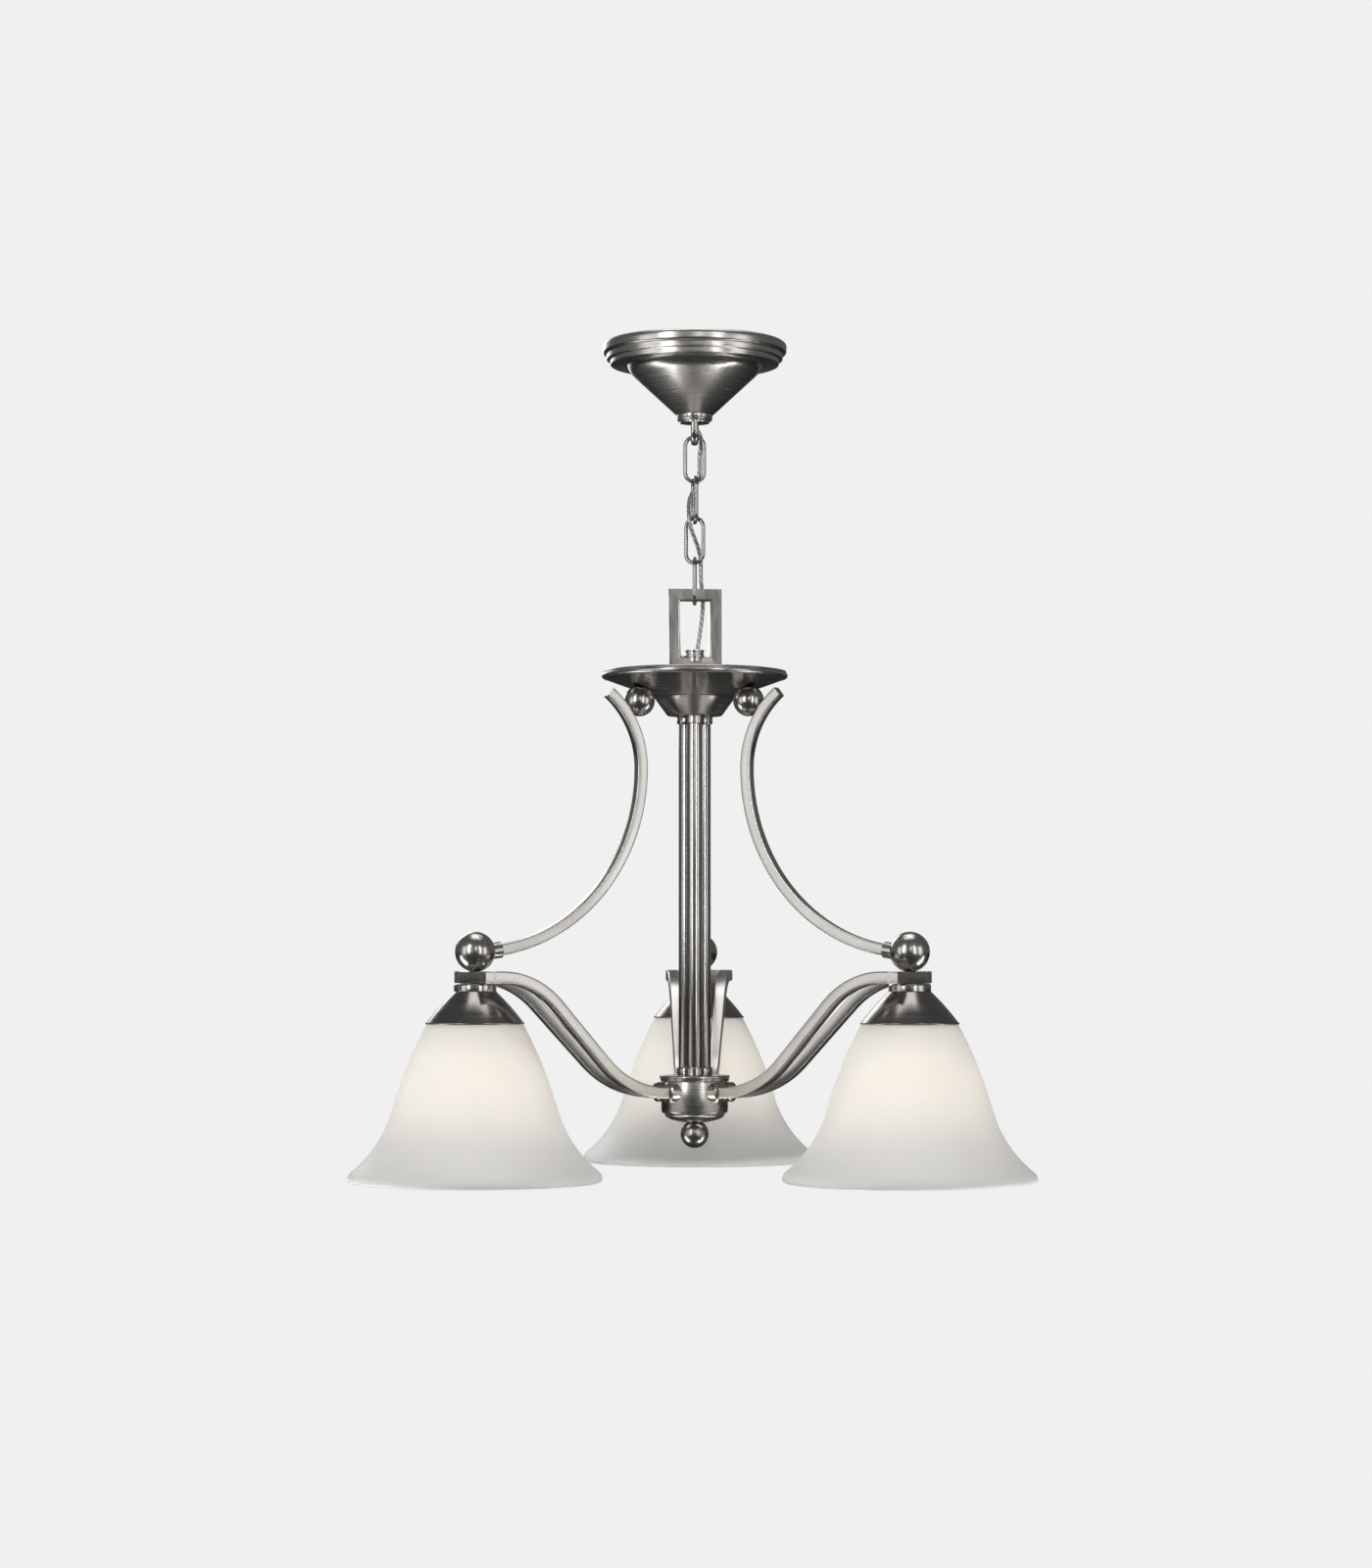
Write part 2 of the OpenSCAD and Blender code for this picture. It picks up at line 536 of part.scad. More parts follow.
// Column
module column_tube(k) color(nickel) rotate([0, 0, tube_angles[k - 1]])
    translate([tube_ring_r, 0, hub_top_z]) tube(tube_d, dish_bot_z - hub_top_z, tube_wall);
module trefoil_collar(z) {
    difference() {
        for (a = tube_angles) rotate([0, 0, a]) translate([tube_ring_r, 0, z])
            cylinder(d = tube_d + 2 * collar_over, h = collar_h);
        for (a = tube_angles) rotate([0, 0, a]) translate([tube_ring_r, 0, z - 1])
            cylinder(d = tube_d + fit, h = collar_h + 2);
    }
}
module column_collar_top() color(nickel) trefoil_collar(dish_bot_z - collar_h);
module column_collar_bottom() color(nickel) trefoil_collar(hub_top_z);
module at_rods() for (a = [tube_angles[1], tube_angles[2]])
    rotate([0, 0, a]) translate([tube_ring_r, 0, 0]) children();
module tie_rods() color(brass) at_rods()
    translate([0, 0, rod_low_z]) cylinder(d = rod_d, h = rod_high_z - rod_low_z);
module rod_nuts() color(brass) at_rods() {
    translate([0, 0, hub_top_z - hub_lid_t - rod_nut_h]) nut_ring(11, rod_nut_h, rod_d / 2 + fit / 2);
    translate([0, 0, dish_floor_z]) nut_ring(11, rod_nut_h, rod_d / 2 + fit / 2);
}

// Hub
module hub_cup() color(nickel) {
    r = hub_d / 2;
    top = hub_top_z - hub_lid_t;
    difference() {
        rotate_extrude() polygon([[r, top], [r, hub_bot_z + 3], [r - 0.6, hub_bot_z + 1.2],
            [r - 1.8, hub_bot_z + 0.2], [r - 3, hub_bot_z], [4, hub_bot_z],
            [4, hub_bot_z + hub_wall], [r - hub_wall - 1, hub_bot_z + hub_wall],
            [r - hub_wall, hub_bot_z + hub_wall + 1], [r - hub_wall, top]]);
        at_bars() rotate([0, 90, 0]) translate([0, 0, -12]) cylinder(r = boss_d / 2 - 1.2, h = 24);
    }
}
module hub_lid() color(nickel) {
    r = hub_d / 2;
    difference() {
        rotate_extrude() polygon([[0, hub_top_z], [r + hub_lid_over - 1, hub_top_z],
            [r + hub_lid_over, hub_top_z - 1], [r + hub_lid_over, hub_top_z - hub_lid_t + 1],
            [r + hub_lid_over - 1, hub_top_z - hub_lid_t], [0, hub_top_z - hub_lid_t]]);
        for (a = tube_angles) rotate([0, 0, a]) translate([tube_ring_r, 0, hub_top_z - hub_lid_t - 1])
            cylinder(d = rod_d + 2 * fit, h = hub_lid_t + 2);
    }
}
module hub_cap() color(nickel) difference() {
    rotate_extrude() polygon([[0, hub_bot_z], [hub_cap_d / 2 + 1, hub_bot_z],
        [hub_cap_d / 2 + 1, hub_bot_z - 1.6], [hub_cap_d / 2 - 0.6, hub_bot_z - 3.2],
        [hub_cap_d / 2 - 3, hub_bot_z - hub_cap_h], [hub_cap_d / 2 - 10, hub_bot_z - hub_cap_h - hub_dome_h],
        [0, hub_bot_z - hub_cap_h - hub_dome_h]]);
    translate([0, 0, hub_bot_z - 8]) cylinder(d = finial_stud_d + 2 * fit, h = 12);
}
module finial_ball() color(nickel) {
    difference() {
        translate([0, 0, finial_z]) sphere(d = finial_d);
        translate([0, 0, hub_bot_z - hub_cap_h - hub_dome_h]) cylinder(d = finial_d, h = 10);
    }
    translate([0, 0, finial_z]) cylinder(d = finial_stud_d, h = hub_bot_z + 10 - finial_z);
}

// Arms: two hollow square bars that fan out from the hub and end in a cross bar
module at_bar(k, s) at_arm(k)
    translate([boss_r0, s * arm_half_in, arm_in_z]) rotate([0, 0, s * arm_fan]) children();
module at_bars() { for (k = [0:arms - 1], s = [-1, 1]) at_bar(k, s) children(); }
// An arm bar's middle line, from the hub outwards
function bar_walk(from, to) = walk([[arm_level_l - from, 0], [arm_bend_low * arm_slope * PI / 180, arm_slope],
        [arm_slope_l, 0], [arm_bend_high * arm_slope * PI / 180, -arm_slope],
        [to - arm_level_l - arm_run, 0]], [from, 0], 90, 8);
function arm_side(r) = arm_half_in + (r - boss_r0) * tan(arm_fan) + arm_bar / 2 / cos(arm_fan);
module cross_bar(d, cut) intersection() {
    translate([light_r, 0, cross_z]) rotate([90, 0, 0])
        linear_extrude(4 * arm_half_out, center = true) eased_square(d, d, d < arm_bar ? 0 : arm_corner);
    translate([0, 0, cross_z - arm_bar]) linear_extrude(2 * arm_bar)
        polygon([for (e = [[-1, -1], [1, -1], [1, 1], [-1, 1]])
            let (r = light_r + e[0] * arm_bar) [r, e[1] * (arm_side(r) - cut)]]);
}
module arm(k) color(nickel) difference() {
    union() {
        for (s = [-1, 1]) at_bar(k - 1, s)
            swept_bar(bar_walk(arm_in_l, arm_tip_l), arm_bar, arm_bar, arm_corner);
        at_arm(k - 1) cross_bar(arm_bar, 0);
    }
    for (s = [-1, 1]) at_bar(k - 1, s) swept_bar(bar_walk(arm_in_l - 1, arm_tip_l - 2 * arm_wall),
        arm_bar - 2 * arm_wall, arm_bar - 2 * arm_wall, 0);
    at_arm(k - 1) cross_bar(arm_bar - 2 * arm_wall, arm_wall);
    at_light(k - 1) translate([0, 0, cross_z - arm_bar]) cylinder(r = lamp_stem_r + fit, h = 2 * arm_bar);
}
module arm_bosses() color(nickel) difference() {
    at_bars() rotate([0, 90, 0]) {
        translate([0, 0, -9]) cylinder(d = boss_d, h = boss_out + 9 - 1);
        translate([0, 0, boss_out - 1]) cylinder(d1 = boss_d, d2 = boss_d - 2, h = 1, $fn = 96);
    }
    translate([0, 0, hub_bot_z - 20]) cylinder(d = hub_d, h = hub_h + 40);
    at_bars() cube([60, arm_bar + 2 * fit, arm_bar + 2 * fit], center = true);
}

// Upper straps
module at_strap(k) at_arm(k - 1) children();
// Follows a strap's middle line; the section is given as its child (X is its thickness)
module along_strap(to_r, top_angle) {
    low_c = [light_r, 0, ball_z + strap_bend_low];
    a = asin((light_r - to_r) / strap_bend_low);
    translate(low_c) rotate([0, 180 - 90 + a, 0]) rotate([-90, 0, 0])
        rotate_extrude(angle = 90 - a) translate([strap_bend_low, 0]) children();
    translate([strap_waist_r, 0, low_c[2]]) linear_extrude(strap_straight) children();
    translate([strap_waist_r + strap_bend_top, 0, low_c[2] + strap_straight]) rotate([0, 180, 0])
        rotate([-90, 0, 0]) rotate_extrude(angle = top_angle) translate([strap_bend_top, 0]) children();
}
module strap_solid(k) at_strap(k)
    along_strap(strap_end_r, strap_top_angle) eased_square(strap_t, strap_w, strap_corner);
function strap_walk(to_r, top) = let (a = asin((light_r - to_r) / strap_bend_low))
    walk([[strap_bend_top * top * PI / 180, top], [strap_straight, 0],
        [strap_bend_low * (90 - a) * PI / 180, 90 - a]],
        [strap_waist_r + strap_bend_top * (1 - cos(top)), strap_bend_z + strap_bend_top * sin(top)],
        -top, 14);
module upper_strap(k) color(nickel) at_strap(k) difference() {
    swept_bar(strap_walk(strap_end_r, strap_top_angle), strap_t, strap_w, strap_corner);
    swept_bar(strap_walk(strap_end_r + 1, strap_top_angle + 1),
        strap_t - 2 * strap_wall, strap_w - 2 * strap_wall, 0);
}
// Frame at a strap's top end: +Z runs out of the end
module at_strap_end(k) at_strap(k)
    translate([strap_waist_r + strap_bend_top, 0, strap_bend_z]) rotate([0, strap_top_angle, 0])
    translate([-strap_bend_top, 0, 0]) children();
module strap_plugs() color(nickel) for (k = [1:arms]) at_strap_end(k) {
    linear_extrude(plug_plate) eased_square(strap_t, strap_w, strap_corner);
    translate([0.2, 0, -5]) linear_extrude(5 + eps)
        eased_square(strap_t - 2 * strap_wall - 1, strap_w - 2 * strap_wall - 0.6, 0.4);
}
module upper_balls() color(nickel) for (k = [1:arms]) difference() {
    at_strap(k) translate([up_ball_r, 0, up_ball_z]) sphere(d = up_ball_d);
    strap_solid(k);
    dish_filled();
}
module dish_filled() {
    side = off(dish_side(), 0);
    rotate_extrude() polygon(concat([[0, dish_top_z]], [[side[0][0], dish_top_z]], side,
        [[0, side[len(side) - 1][1]]]));
}
// Frame where a strap runs into its lamp ball: +X runs outwards
module at_ball(k) at_light(k - 1) translate([0, 0, ball_z]) children();
module strap_ferrules() color(nickel) for (k = [1:arms]) difference() {
    at_ferrule(k) cylinder(d = ferrule_d, h = ferrule_l + 3);
    at_ball(k) sphere(d = ball_d);
    strap_solid(k);
}
module at_ferrule(k) at_light(k - 1) translate([0, 0, ball_z + strap_bend_low])
    rotate([0, ferrule_tilt, 0]) translate([-ferrule_l / 2, 0, -strap_bend_low])
    rotate([0, 90, 0]) children();
module arm_balls() color(nickel) for (k = [1:arms]) difference() {
    at_ball(k) difference() {
        sphere(d = ball_d);
        translate([0, 0, -ball_d]) cylinder(r = lamp_stem_r + fit, h = ball_d);
        translate([0, 0, -ball_d / 2 + ball_seat - 10]) cylinder(d = ball_d, h = 10);
    }
    strap_solid(k);
}

// Lamp fitters
module fitter_rings() color(nickel) at_lights() translate([0, 0, cap_top_z])
    rotate_extrude() polygon([[lamp_stem_r + fit, 0], [fit_ring_d / 2, 0], [fit_ring_d / 2, fit_ring_h - 0.8],
        [fit_ring_d / 2 - 0.8, fit_ring_h], [lamp_stem_r + fit, fit_ring_h]]);
function cap_side(from) = let (q = walk(cap_path, [fit_ring_d / 2, 0], cap_head, 12))
    [for (i = [from:12]) [[fit_ring_d / 2 + (q[i][0][0] - fit_ring_d / 2) * cap_scale,
        cap_top_z + q[i][0][1] * cap_scale], q[i][1]]];
module shade_cap(k) color(nickel) at_light(k - 1) {
    side = cap_side(0);
    difference() {
        union() {
            spun(side, cap_wall);
            translate([0, 0, cap_top_z - cap_wall]) cylinder(r = fit_ring_d / 2, h = cap_wall);
            rotate_extrude() translate(side[12][0] + [-0.35, 0]) circle(r = 0.9, $fn = 24);
        }
        translate([0, 0, cap_top_z - 4]) cylinder(r = lamp_stem_r + fit, h = 8);
    }
}
module fitter_stems() color(brass) at_lights() difference() {
    translate([0, 0, socket_top_z - 5]) cylinder(r = lamp_stem_r, h = ball_z - 4 - socket_top_z + 5);
    translate([0, 0, socket_top_z - 6]) cylinder(r = lamp_stem_bore_r, h = ball_z - socket_top_z + 12);
    translate([0, 0, cross_z]) rotate([90, 0, 0]) cylinder(r = 1.5, h = 30, center = true);
}
module sockets() color("#26241f") at_lights() difference() {
    translate([0, 0, socket_bot_z]) cylinder(d = socket_d, h = socket_h);
    translate([0, 0, socket_bot_z - 1]) cylinder(r = base_d / 2 + 0.3, h = base_top_z + 3 - socket_bot_z + 1);
    translate([0, 0, socket_top_z - 10]) cylinder(r = lamp_stem_r + fit, h = 12);
}
function glass_walk() = let (c = cap_side(glass_top_i), m = len(c) - 1,
        g = [for (e = c) [e[0] - (cap_wall + glass_gap) * [cos(e[1]), sin(e[1])], e[1]]],
        h = g[m][1])
    concat(g, [for (e = walk([[3, 27.5 - h], [bell_side, -11.5], [bell_flare, 35.4], [6.4, -50]],
        g[m][0], h, 8)) if (e[0] != g[m][0]) e]);
module shade(k) color("#e9e4da") at_light(k - 1) {
    q = glass_walk();
    n = len(q);
    tip = q[n - 1];
    rotate_extrude() polygon(concat([[neck_r, q[0][0][1]]], off(q, 0), flip(off(q, -glass_t)),
        [[neck_r, q[0][0][1] - glass_t * 1.1]]));
    rotate_extrude() translate(tip[0] - lip_d / 2 * [cos(tip[1]), sin(tip[1])]) circle(d = lip_d, $fn = 32);
}
module shade_rings() color("#26241f") at_lights() translate([0, 0, shade_ring_z - ring_t]) difference() {
    cylinder(r = socket_d / 2 + ring_over, h = ring_t);
    translate([0, 0, -1]) cylinder(r = socket_d / 2 + fit, h = ring_t + 2);
}
// Wires inside one bar of each arm, hub to lamp
module arm_leads() color("#dddddd") for (k = [0:arms - 1]) at_bar(k, 1) {
    line = [for (e = bar_walk(arm_in_l - 1, arm_tip_l - arm_bar)) [e[0][0], 0, e[0][1]]];
    sweep(line, 0, len(line) - 1, 2.4);
}
module bulb(k) color("#f4f1ea") at_light(k - 1) {
    glass_r = bulb_d / 2;
    glass_z = base_top_z - bulb_len + glass_r;
    neck = 11.8;
    translate([0, 0, base_top_z - base_l]) cylinder(d = base_d, h = base_l);
    rotate_extrude() polygon(concat([[0, glass_z - glass_r]],
        [for (a = [-80:10:40]) [glass_r * cos(a), glass_z + glass_r * sin(a)]],
        [for (f = [0.25:0.25:1]) let (h0 = glass_z + glass_r * sin(40), r0 = glass_r * cos(40), s = 1 - f)
            [neck + (r0 - neck) * s * s, h0 + (base_top_z - base_l - h0) * f]],
        [[0, base_top_z - base_l]]));
}

ceiling_bracket();
threaded_stem();
stem_nuts();
ground_screw();
canopy_loop();
wire_connectors();
canopy_leads();
canopy();
canopy_ring_nut();
chain_link(1);  // link_1
chain_link(2);  // link_2
chain_link(3);  // link_3
chain_link(4);  // link_4
cord(1);  // cord_1
cord(2);  // cord_2
cord(3);  // cord_3
cord(4);  // cord_4
cord(5);  // cord_5
hang_loop();
cord_bushing();
top_dish();
dish_cover();
column_tube(1);  // column_tube_1
column_tube(2);  // column_tube_2
column_tube(3);  // column_tube_3
column_collar_top();
column_collar_bottom();
tie_rods();
rod_nuts();
hub_cup();
hub_lid();
hub_cap();
finial_ball();
arm_bosses();
arm(1);  // arm_1
arm(2);  // arm_2
arm(3);  // arm_3
upper_strap(1);  // upper_strap_1
upper_strap(2);  // upper_strap_2
upper_strap(3);  // upper_strap_3
strap_plugs();
upper_balls();
strap_ferrules();
arm_balls();
fitter_rings();
shade_cap(1);  // shade_cap_1
shade_cap(2);  // shade_cap_2
shade_cap(3);  // shade_cap_3
fitter_stems();
sockets();
shade_rings();
arm_leads();
shade(1);  // shade_1
shade(2);  // shade_2
shade(3);  // shade_3
bulb(1);  // bulb_1
bulb(2);  // bulb_2
bulb(3);  // bulb_3
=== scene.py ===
import math
import bmesh
import bpy
from mathutils import Matrix, Vector


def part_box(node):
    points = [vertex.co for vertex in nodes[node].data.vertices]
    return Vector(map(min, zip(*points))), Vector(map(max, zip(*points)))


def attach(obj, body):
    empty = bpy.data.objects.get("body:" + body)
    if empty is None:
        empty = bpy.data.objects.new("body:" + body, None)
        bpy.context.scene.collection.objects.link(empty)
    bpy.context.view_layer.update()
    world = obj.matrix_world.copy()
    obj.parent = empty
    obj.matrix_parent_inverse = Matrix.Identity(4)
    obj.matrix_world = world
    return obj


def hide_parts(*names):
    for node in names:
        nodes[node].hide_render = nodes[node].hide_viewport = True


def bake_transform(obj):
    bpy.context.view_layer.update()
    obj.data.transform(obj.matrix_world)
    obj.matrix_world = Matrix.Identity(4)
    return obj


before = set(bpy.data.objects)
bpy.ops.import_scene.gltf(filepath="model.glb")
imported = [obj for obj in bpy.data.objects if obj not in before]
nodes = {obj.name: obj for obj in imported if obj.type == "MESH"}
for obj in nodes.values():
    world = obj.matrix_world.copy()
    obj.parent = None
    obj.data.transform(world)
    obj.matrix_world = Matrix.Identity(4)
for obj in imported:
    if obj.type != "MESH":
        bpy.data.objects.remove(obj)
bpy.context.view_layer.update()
mm = 0.001
armAngles = (90, -30, -150)
tiny = 1e-6
done = set()          # CAD nodes that a new piece stands for


# camera

cameraView = {
    "distance": 2.93,
    "height": -0.4992,
    "azimuth": 1.1,            # degrees round the column from straight in front
    "lens": 82.4,
    "sensor": 36.0,
    "shiftX": -0.0055,
    "shiftY": 0.109,
}


def addCamera(s):
    data = bpy.data.cameras.new("viewCamera")
    data.lens = s["lens"]
    data.sensor_width = s["sensor"]
    data.shift_x = s["shiftX"]
    data.shift_y = s["shiftY"]
    data.clip_end = 60
    camera = bpy.data.objects.new("viewCamera", data)
    bpy.context.scene.collection.objects.link(camera)
    turn = math.radians(s["azimuth"])
    camera.location = (s["distance"] * math.sin(turn), -s["distance"] * math.cos(turn), s["height"])
    camera.rotation_euler = (math.pi / 2, 0, turn)
    bpy.context.scene.camera = camera


addCamera(cameraView)
print("stage: camera")


# outlines

def arc(centre, radius, start, end, steps):
    out = []
    for i in range(steps + 1):
        a = math.radians(start + (end - start) * i / steps)
        out.append((centre[0] + radius * math.cos(a), centre[1] + radius * math.sin(a)))
    return out


def walk(start, heading, runs, steps=8):
    # runs of (length, turn); a heading of 0 is straight down and 90 straight out
    out = [(start[0], start[1], heading)]
    x, z, h = out[0]
    for length, turn in runs:
        n = 1 if abs(turn) < tiny else steps
        for i in range(n):
            part = turn / n
            chord = length / n
            if abs(part) > tiny:
                half = math.radians(part) / 2
                chord *= math.sin(half) / half
            a = math.radians(h + part / 2)
            x, z, h = x + chord * math.sin(a), z - chord * math.cos(a), h + part
            out.append((x, z, h))
    return out


def offset(line, amount):
    return [(x + amount * math.cos(math.radians(h)), z + amount * math.sin(math.radians(h)))
            for x, z, h in line]


def toMetres(line):
    return [(p[0] * mm, p[1] * mm) for p in line]


def softened(points, radius, closed=False, steps=3):
    # eases every corner that turns by more than 25 degrees
    leastBend, shortest = math.radians(25), 1e-7
    out = []
    count = len(points)
    for i, p in enumerate(points):
        if not closed and i in (0, count - 1):
            out.append(p)
            continue
        here = Vector(p)
        before = Vector(points[i - 1]) - here
        after = Vector(points[(i + 1) % count]) - here
        if before.length < shortest or after.length < shortest:
            continue
        bendAngle = math.pi - before.angle(after)
        if bendAngle < leastBend:
            out.append(p)
            continue
        reach = min(radius * math.tan(bendAngle / 2), before.length * 0.45, after.length * 0.45)
        a = here + before.normalized() * reach
        b = here + after.normalized() * reach
        for k in range(steps + 1):
            t = k / steps
            q = a * (1 - t) ** 2 + here * 2 * t * (1 - t) + b * t ** 2
            out.append((q.x, q.y))
    return out


def easedSquare(width, depth, corner, steps=4):
    out = []
    for k, (sx, sy) in enumerate(((1, 1), (-1, 1), (-1, -1), (1, -1))):
        centre = (sx * (width / 2 - corner), sy * (depth / 2 - corner))
        out += arc(centre, corner, k * 90, k * 90 + 90, steps)
    return out


def ringOutline(radius, count):
    return [(radius * math.cos(2 * math.pi * i / count), radius * math.sin(2 * math.pi * i / count))
            for i in range(count)]


# mesh making

def spin(bm, outline, centre=(0, 0), segments=112, closed=False):
    # outline is (radius, height) pairs, from one end of the wall to the other
    rings = []
    for r, z in outline:
        if r < tiny:
            rings.append([bm.verts.new((centre[0], centre[1], z))])
            continue
        rings.append([bm.verts.new((centre[0] + r * math.cos(2 * math.pi * k / segments),
                                    centre[1] + r * math.sin(2 * math.pi * k / segments), z))
                      for k in range(segments)])
    pairs = list(zip(rings, rings[1:]))
    if closed:
        pairs.append((rings[-1], rings[0]))
    for a, b in pairs:
        for k in range(segments):
            n = (k + 1) % segments
            corners = [a[k % len(a)], a[n % len(a)], b[n % len(b)], b[k % len(b)]]
            corners = list(dict.fromkeys(corners))
            if len(corners) > 2:
                bm.faces.new(corners)


def sweep(bm, points, section, side=None, closed=False, caps=True):
    # section's first axis lies along side x travel, and its second along side
    uv = bm.loops.layers.uv.verify()
    points = [Vector(p) for p in points]
    count = len(points)
    tangents = []
    for i in range(count):
        a = points[i - 1] if closed or i > 0 else points[0]
        b = points[(i + 1) % count] if closed or i < count - 1 else points[-1]
        tangents.append((b - a).normalized())
    frames = []
    carried = Vector(side) if side else tangents[0].orthogonal().normalized()
    for t in tangents:
        if side:
            v = Vector(side)
        else:
            v = (carried - t * carried.dot(t)).normalized()
            carried = v
        frames.append((v.cross(t).normalized(), v))
    n = len(section)
    rings = []
    for p, (u, v) in zip(points, frames):
        rings.append([bm.verts.new(p + u * s[0] + v * s[1]) for s in section])
    around = [0.0]
    for k in range(n):
        a, b = Vector(section[k]), Vector(section[(k + 1) % n])
        around.append(around[-1] + (b - a).length)
    along = [0.0]
    for i in range(count):
        along.append(along[-1] + (points[(i + 1) % count] - points[i]).length)
    for i in range(count if closed else count - 1):
        j = (i + 1) % count
        for k in range(n):
            m = (k + 1) % n
            face = bm.faces.new((rings[i][k], rings[j][k], rings[j][m], rings[i][m]))
            values = ((along[i], around[k]), (along[i + 1], around[k]),
                      (along[i + 1], around[k + 1]), (along[i], around[k + 1]))
            for loop, value in zip(face.loops, values):
                loop[uv].uv = value
    if caps and not closed:
        for ring in (rings[0], rings[-1]):
            face = bm.faces.new(ring)
            for loop in face.loops:
                loop[uv].uv = (loop.vert.co.x, loop.vert.co.z)


def finishPiece(name, bm, material, body, replaced=(), origin=(0, 0, 0), sharp=32, extra=()):
    bmesh.ops.recalc_face_normals(bm, faces=bm.faces)
    mesh = bpy.data.meshes.new(name)
    bm.to_mesh(mesh)
    bm.free()
    mesh.transform(Matrix.Translation(-Vector(origin)))
    mesh.shade_smooth()
    mesh.set_sharp_from_angle(angle=math.radians(sharp))
    piece = bpy.data.objects.new(name, mesh)
    bpy.context.scene.collection.objects.link(piece)
    piece.location = origin
    mesh.materials.append(material)
    for m in extra:
        mesh.materials.append(m)
    if body:
        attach(piece, body)
    if replaced:
        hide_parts(*replaced)
        done.update(replaced)
    return piece


def spunPiece(name, outline, material, body, replaced=(), centre=(0, 0), closed=False,
              segments=112, sharp=32):
    bm = bmesh.new()
    spin(bm, outline, centre, segments, closed)
    return finishPiece(name, bm, material, body, replaced, (centre[0], centre[1], 0), sharp)


def around(angle, x, y=0.0, z=0.0):
    a = math.radians(angle)
    return Vector((x * math.cos(a) - y * math.sin(a), x * math.sin(a) + y * math.cos(a), z))


# materials

def nodeKit(name):
    material = bpy.data.materials.new(name)
    material.use_nodes = True
    tree = material.node_tree
    shader = tree.nodes["Principled BSDF"]
    return material, tree, shader


def addNode(tree, kind, **values):
    node = tree.nodes.new(kind)
    for key, value in values.items():
        setattr(node, key, value)
    return node


def objectCoords(tree):
    return addNode(tree, "ShaderNodeTexCoord").outputs["Object"]


def noise(tree, vector, scale, detail, roughness=0.55):
    node = addNode(tree, "ShaderNodeTexNoise")
    node.inputs["Scale"].default_value = scale
    node.inputs["Detail"].default_value = detail
    node.inputs["Roughness"].default_value = roughness
    tree.links.new(vector, node.inputs["Vector"])
    return node.outputs["Fac"]


def ramp(tree, value, low, high, lowColour, highColour):
    node = addNode(tree, "ShaderNodeValToRGB")
    node.color_ramp.elements[0].position = low
    node.color_ramp.elements[1].position = high
    node.color_ramp.elements[0].color = (*lowColour, 1)
    node.color_ramp.elements[1].color = (*highColour, 1)
    tree.links.new(value, node.inputs["Fac"])
    return node.outputs["Color"]


def mapRange(tree, value, fromLow, fromHigh, low, high):
    node = addNode(tree, "ShaderNodeMapRange")
    for key, number in (("From Min", fromLow), ("From Max", fromHigh), ("To Min", low), ("To Max", high)):
        node.inputs[key].default_value = number
    tree.links.new(value, node.inputs["Value"])
    return node.outputs["Result"]


def math2(tree, operation, a, b):
    node = addNode(tree, "ShaderNodeMath", operation=operation)
    for socket, value in zip(node.inputs, (a, b)):
        if isinstance(value, (int, float)):
            socket.default_value = value
        elif value is not None:
            tree.links.new(value, socket)
    return node.outputs[0]


def combine(tree, x, y, z):
    node = addNode(tree, "ShaderNodeCombineXYZ")
    for socket, value in zip(node.inputs, (x, y, z)):
        if isinstance(value, (int, float)):
            socket.default_value = value
        else:
            tree.links.new(value, socket)
    return node.outputs[0]


def mixColour(tree, factor, a, b, kind="MIX"):
    node = addNode(tree, "ShaderNodeMix", data_type="RGBA", blend_type=kind)
    for socket, value in ((node.inputs["Factor"], factor), (node.inputs[6], a), (node.inputs[7], b)):
        if isinstance(value, (int, float)):
            socket.default_value = value
        elif isinstance(value, tuple):
            socket.default_value = (*value, 1)
        else:
            tree.links.new(value, socket)
    return node.outputs[2]


def bumpFrom(tree, shader, height, strength, distance):
    node = addNode(tree, "ShaderNodeBump")
    node.inputs["Strength"].default_value = strength
    node.inputs["Distance"].default_value = distance
    tree.links.new(height, node.inputs["Height"])
    tree.links.new(node.outputs["Normal"], shader.inputs["Normal"])


grainScales = {
    "drawn": (9, 3600, 0), "fine": (420, 420, 60), "upright": (3200, 3200, 6), "spun": (14, 14, 3000),
}


def grainVector(tree, grain):
    # a vector that changes fast across the brush lines and slowly along them
    coords = addNode(tree, "ShaderNodeTexCoord")
    split = addNode(tree, "ShaderNodeSeparateXYZ")
    tree.links.new(coords.outputs["UV" if grain == "drawn" else "Object"], split.inputs[0])
    x, y, z = split.outputs
    if grain == "spun":
        length = addNode(tree, "ShaderNodeVectorMath", operation="LENGTH")
        tree.links.new(combine(tree, x, y, 0.0), length.inputs[0])
        z = math2(tree, "ADD", z, length.outputs["Value"])
    return combine(tree, *(math2(tree, "MULTIPLY", value, scale) if scale else 0.0
                           for value, scale in zip((x, y, z), grainScales[grain])))


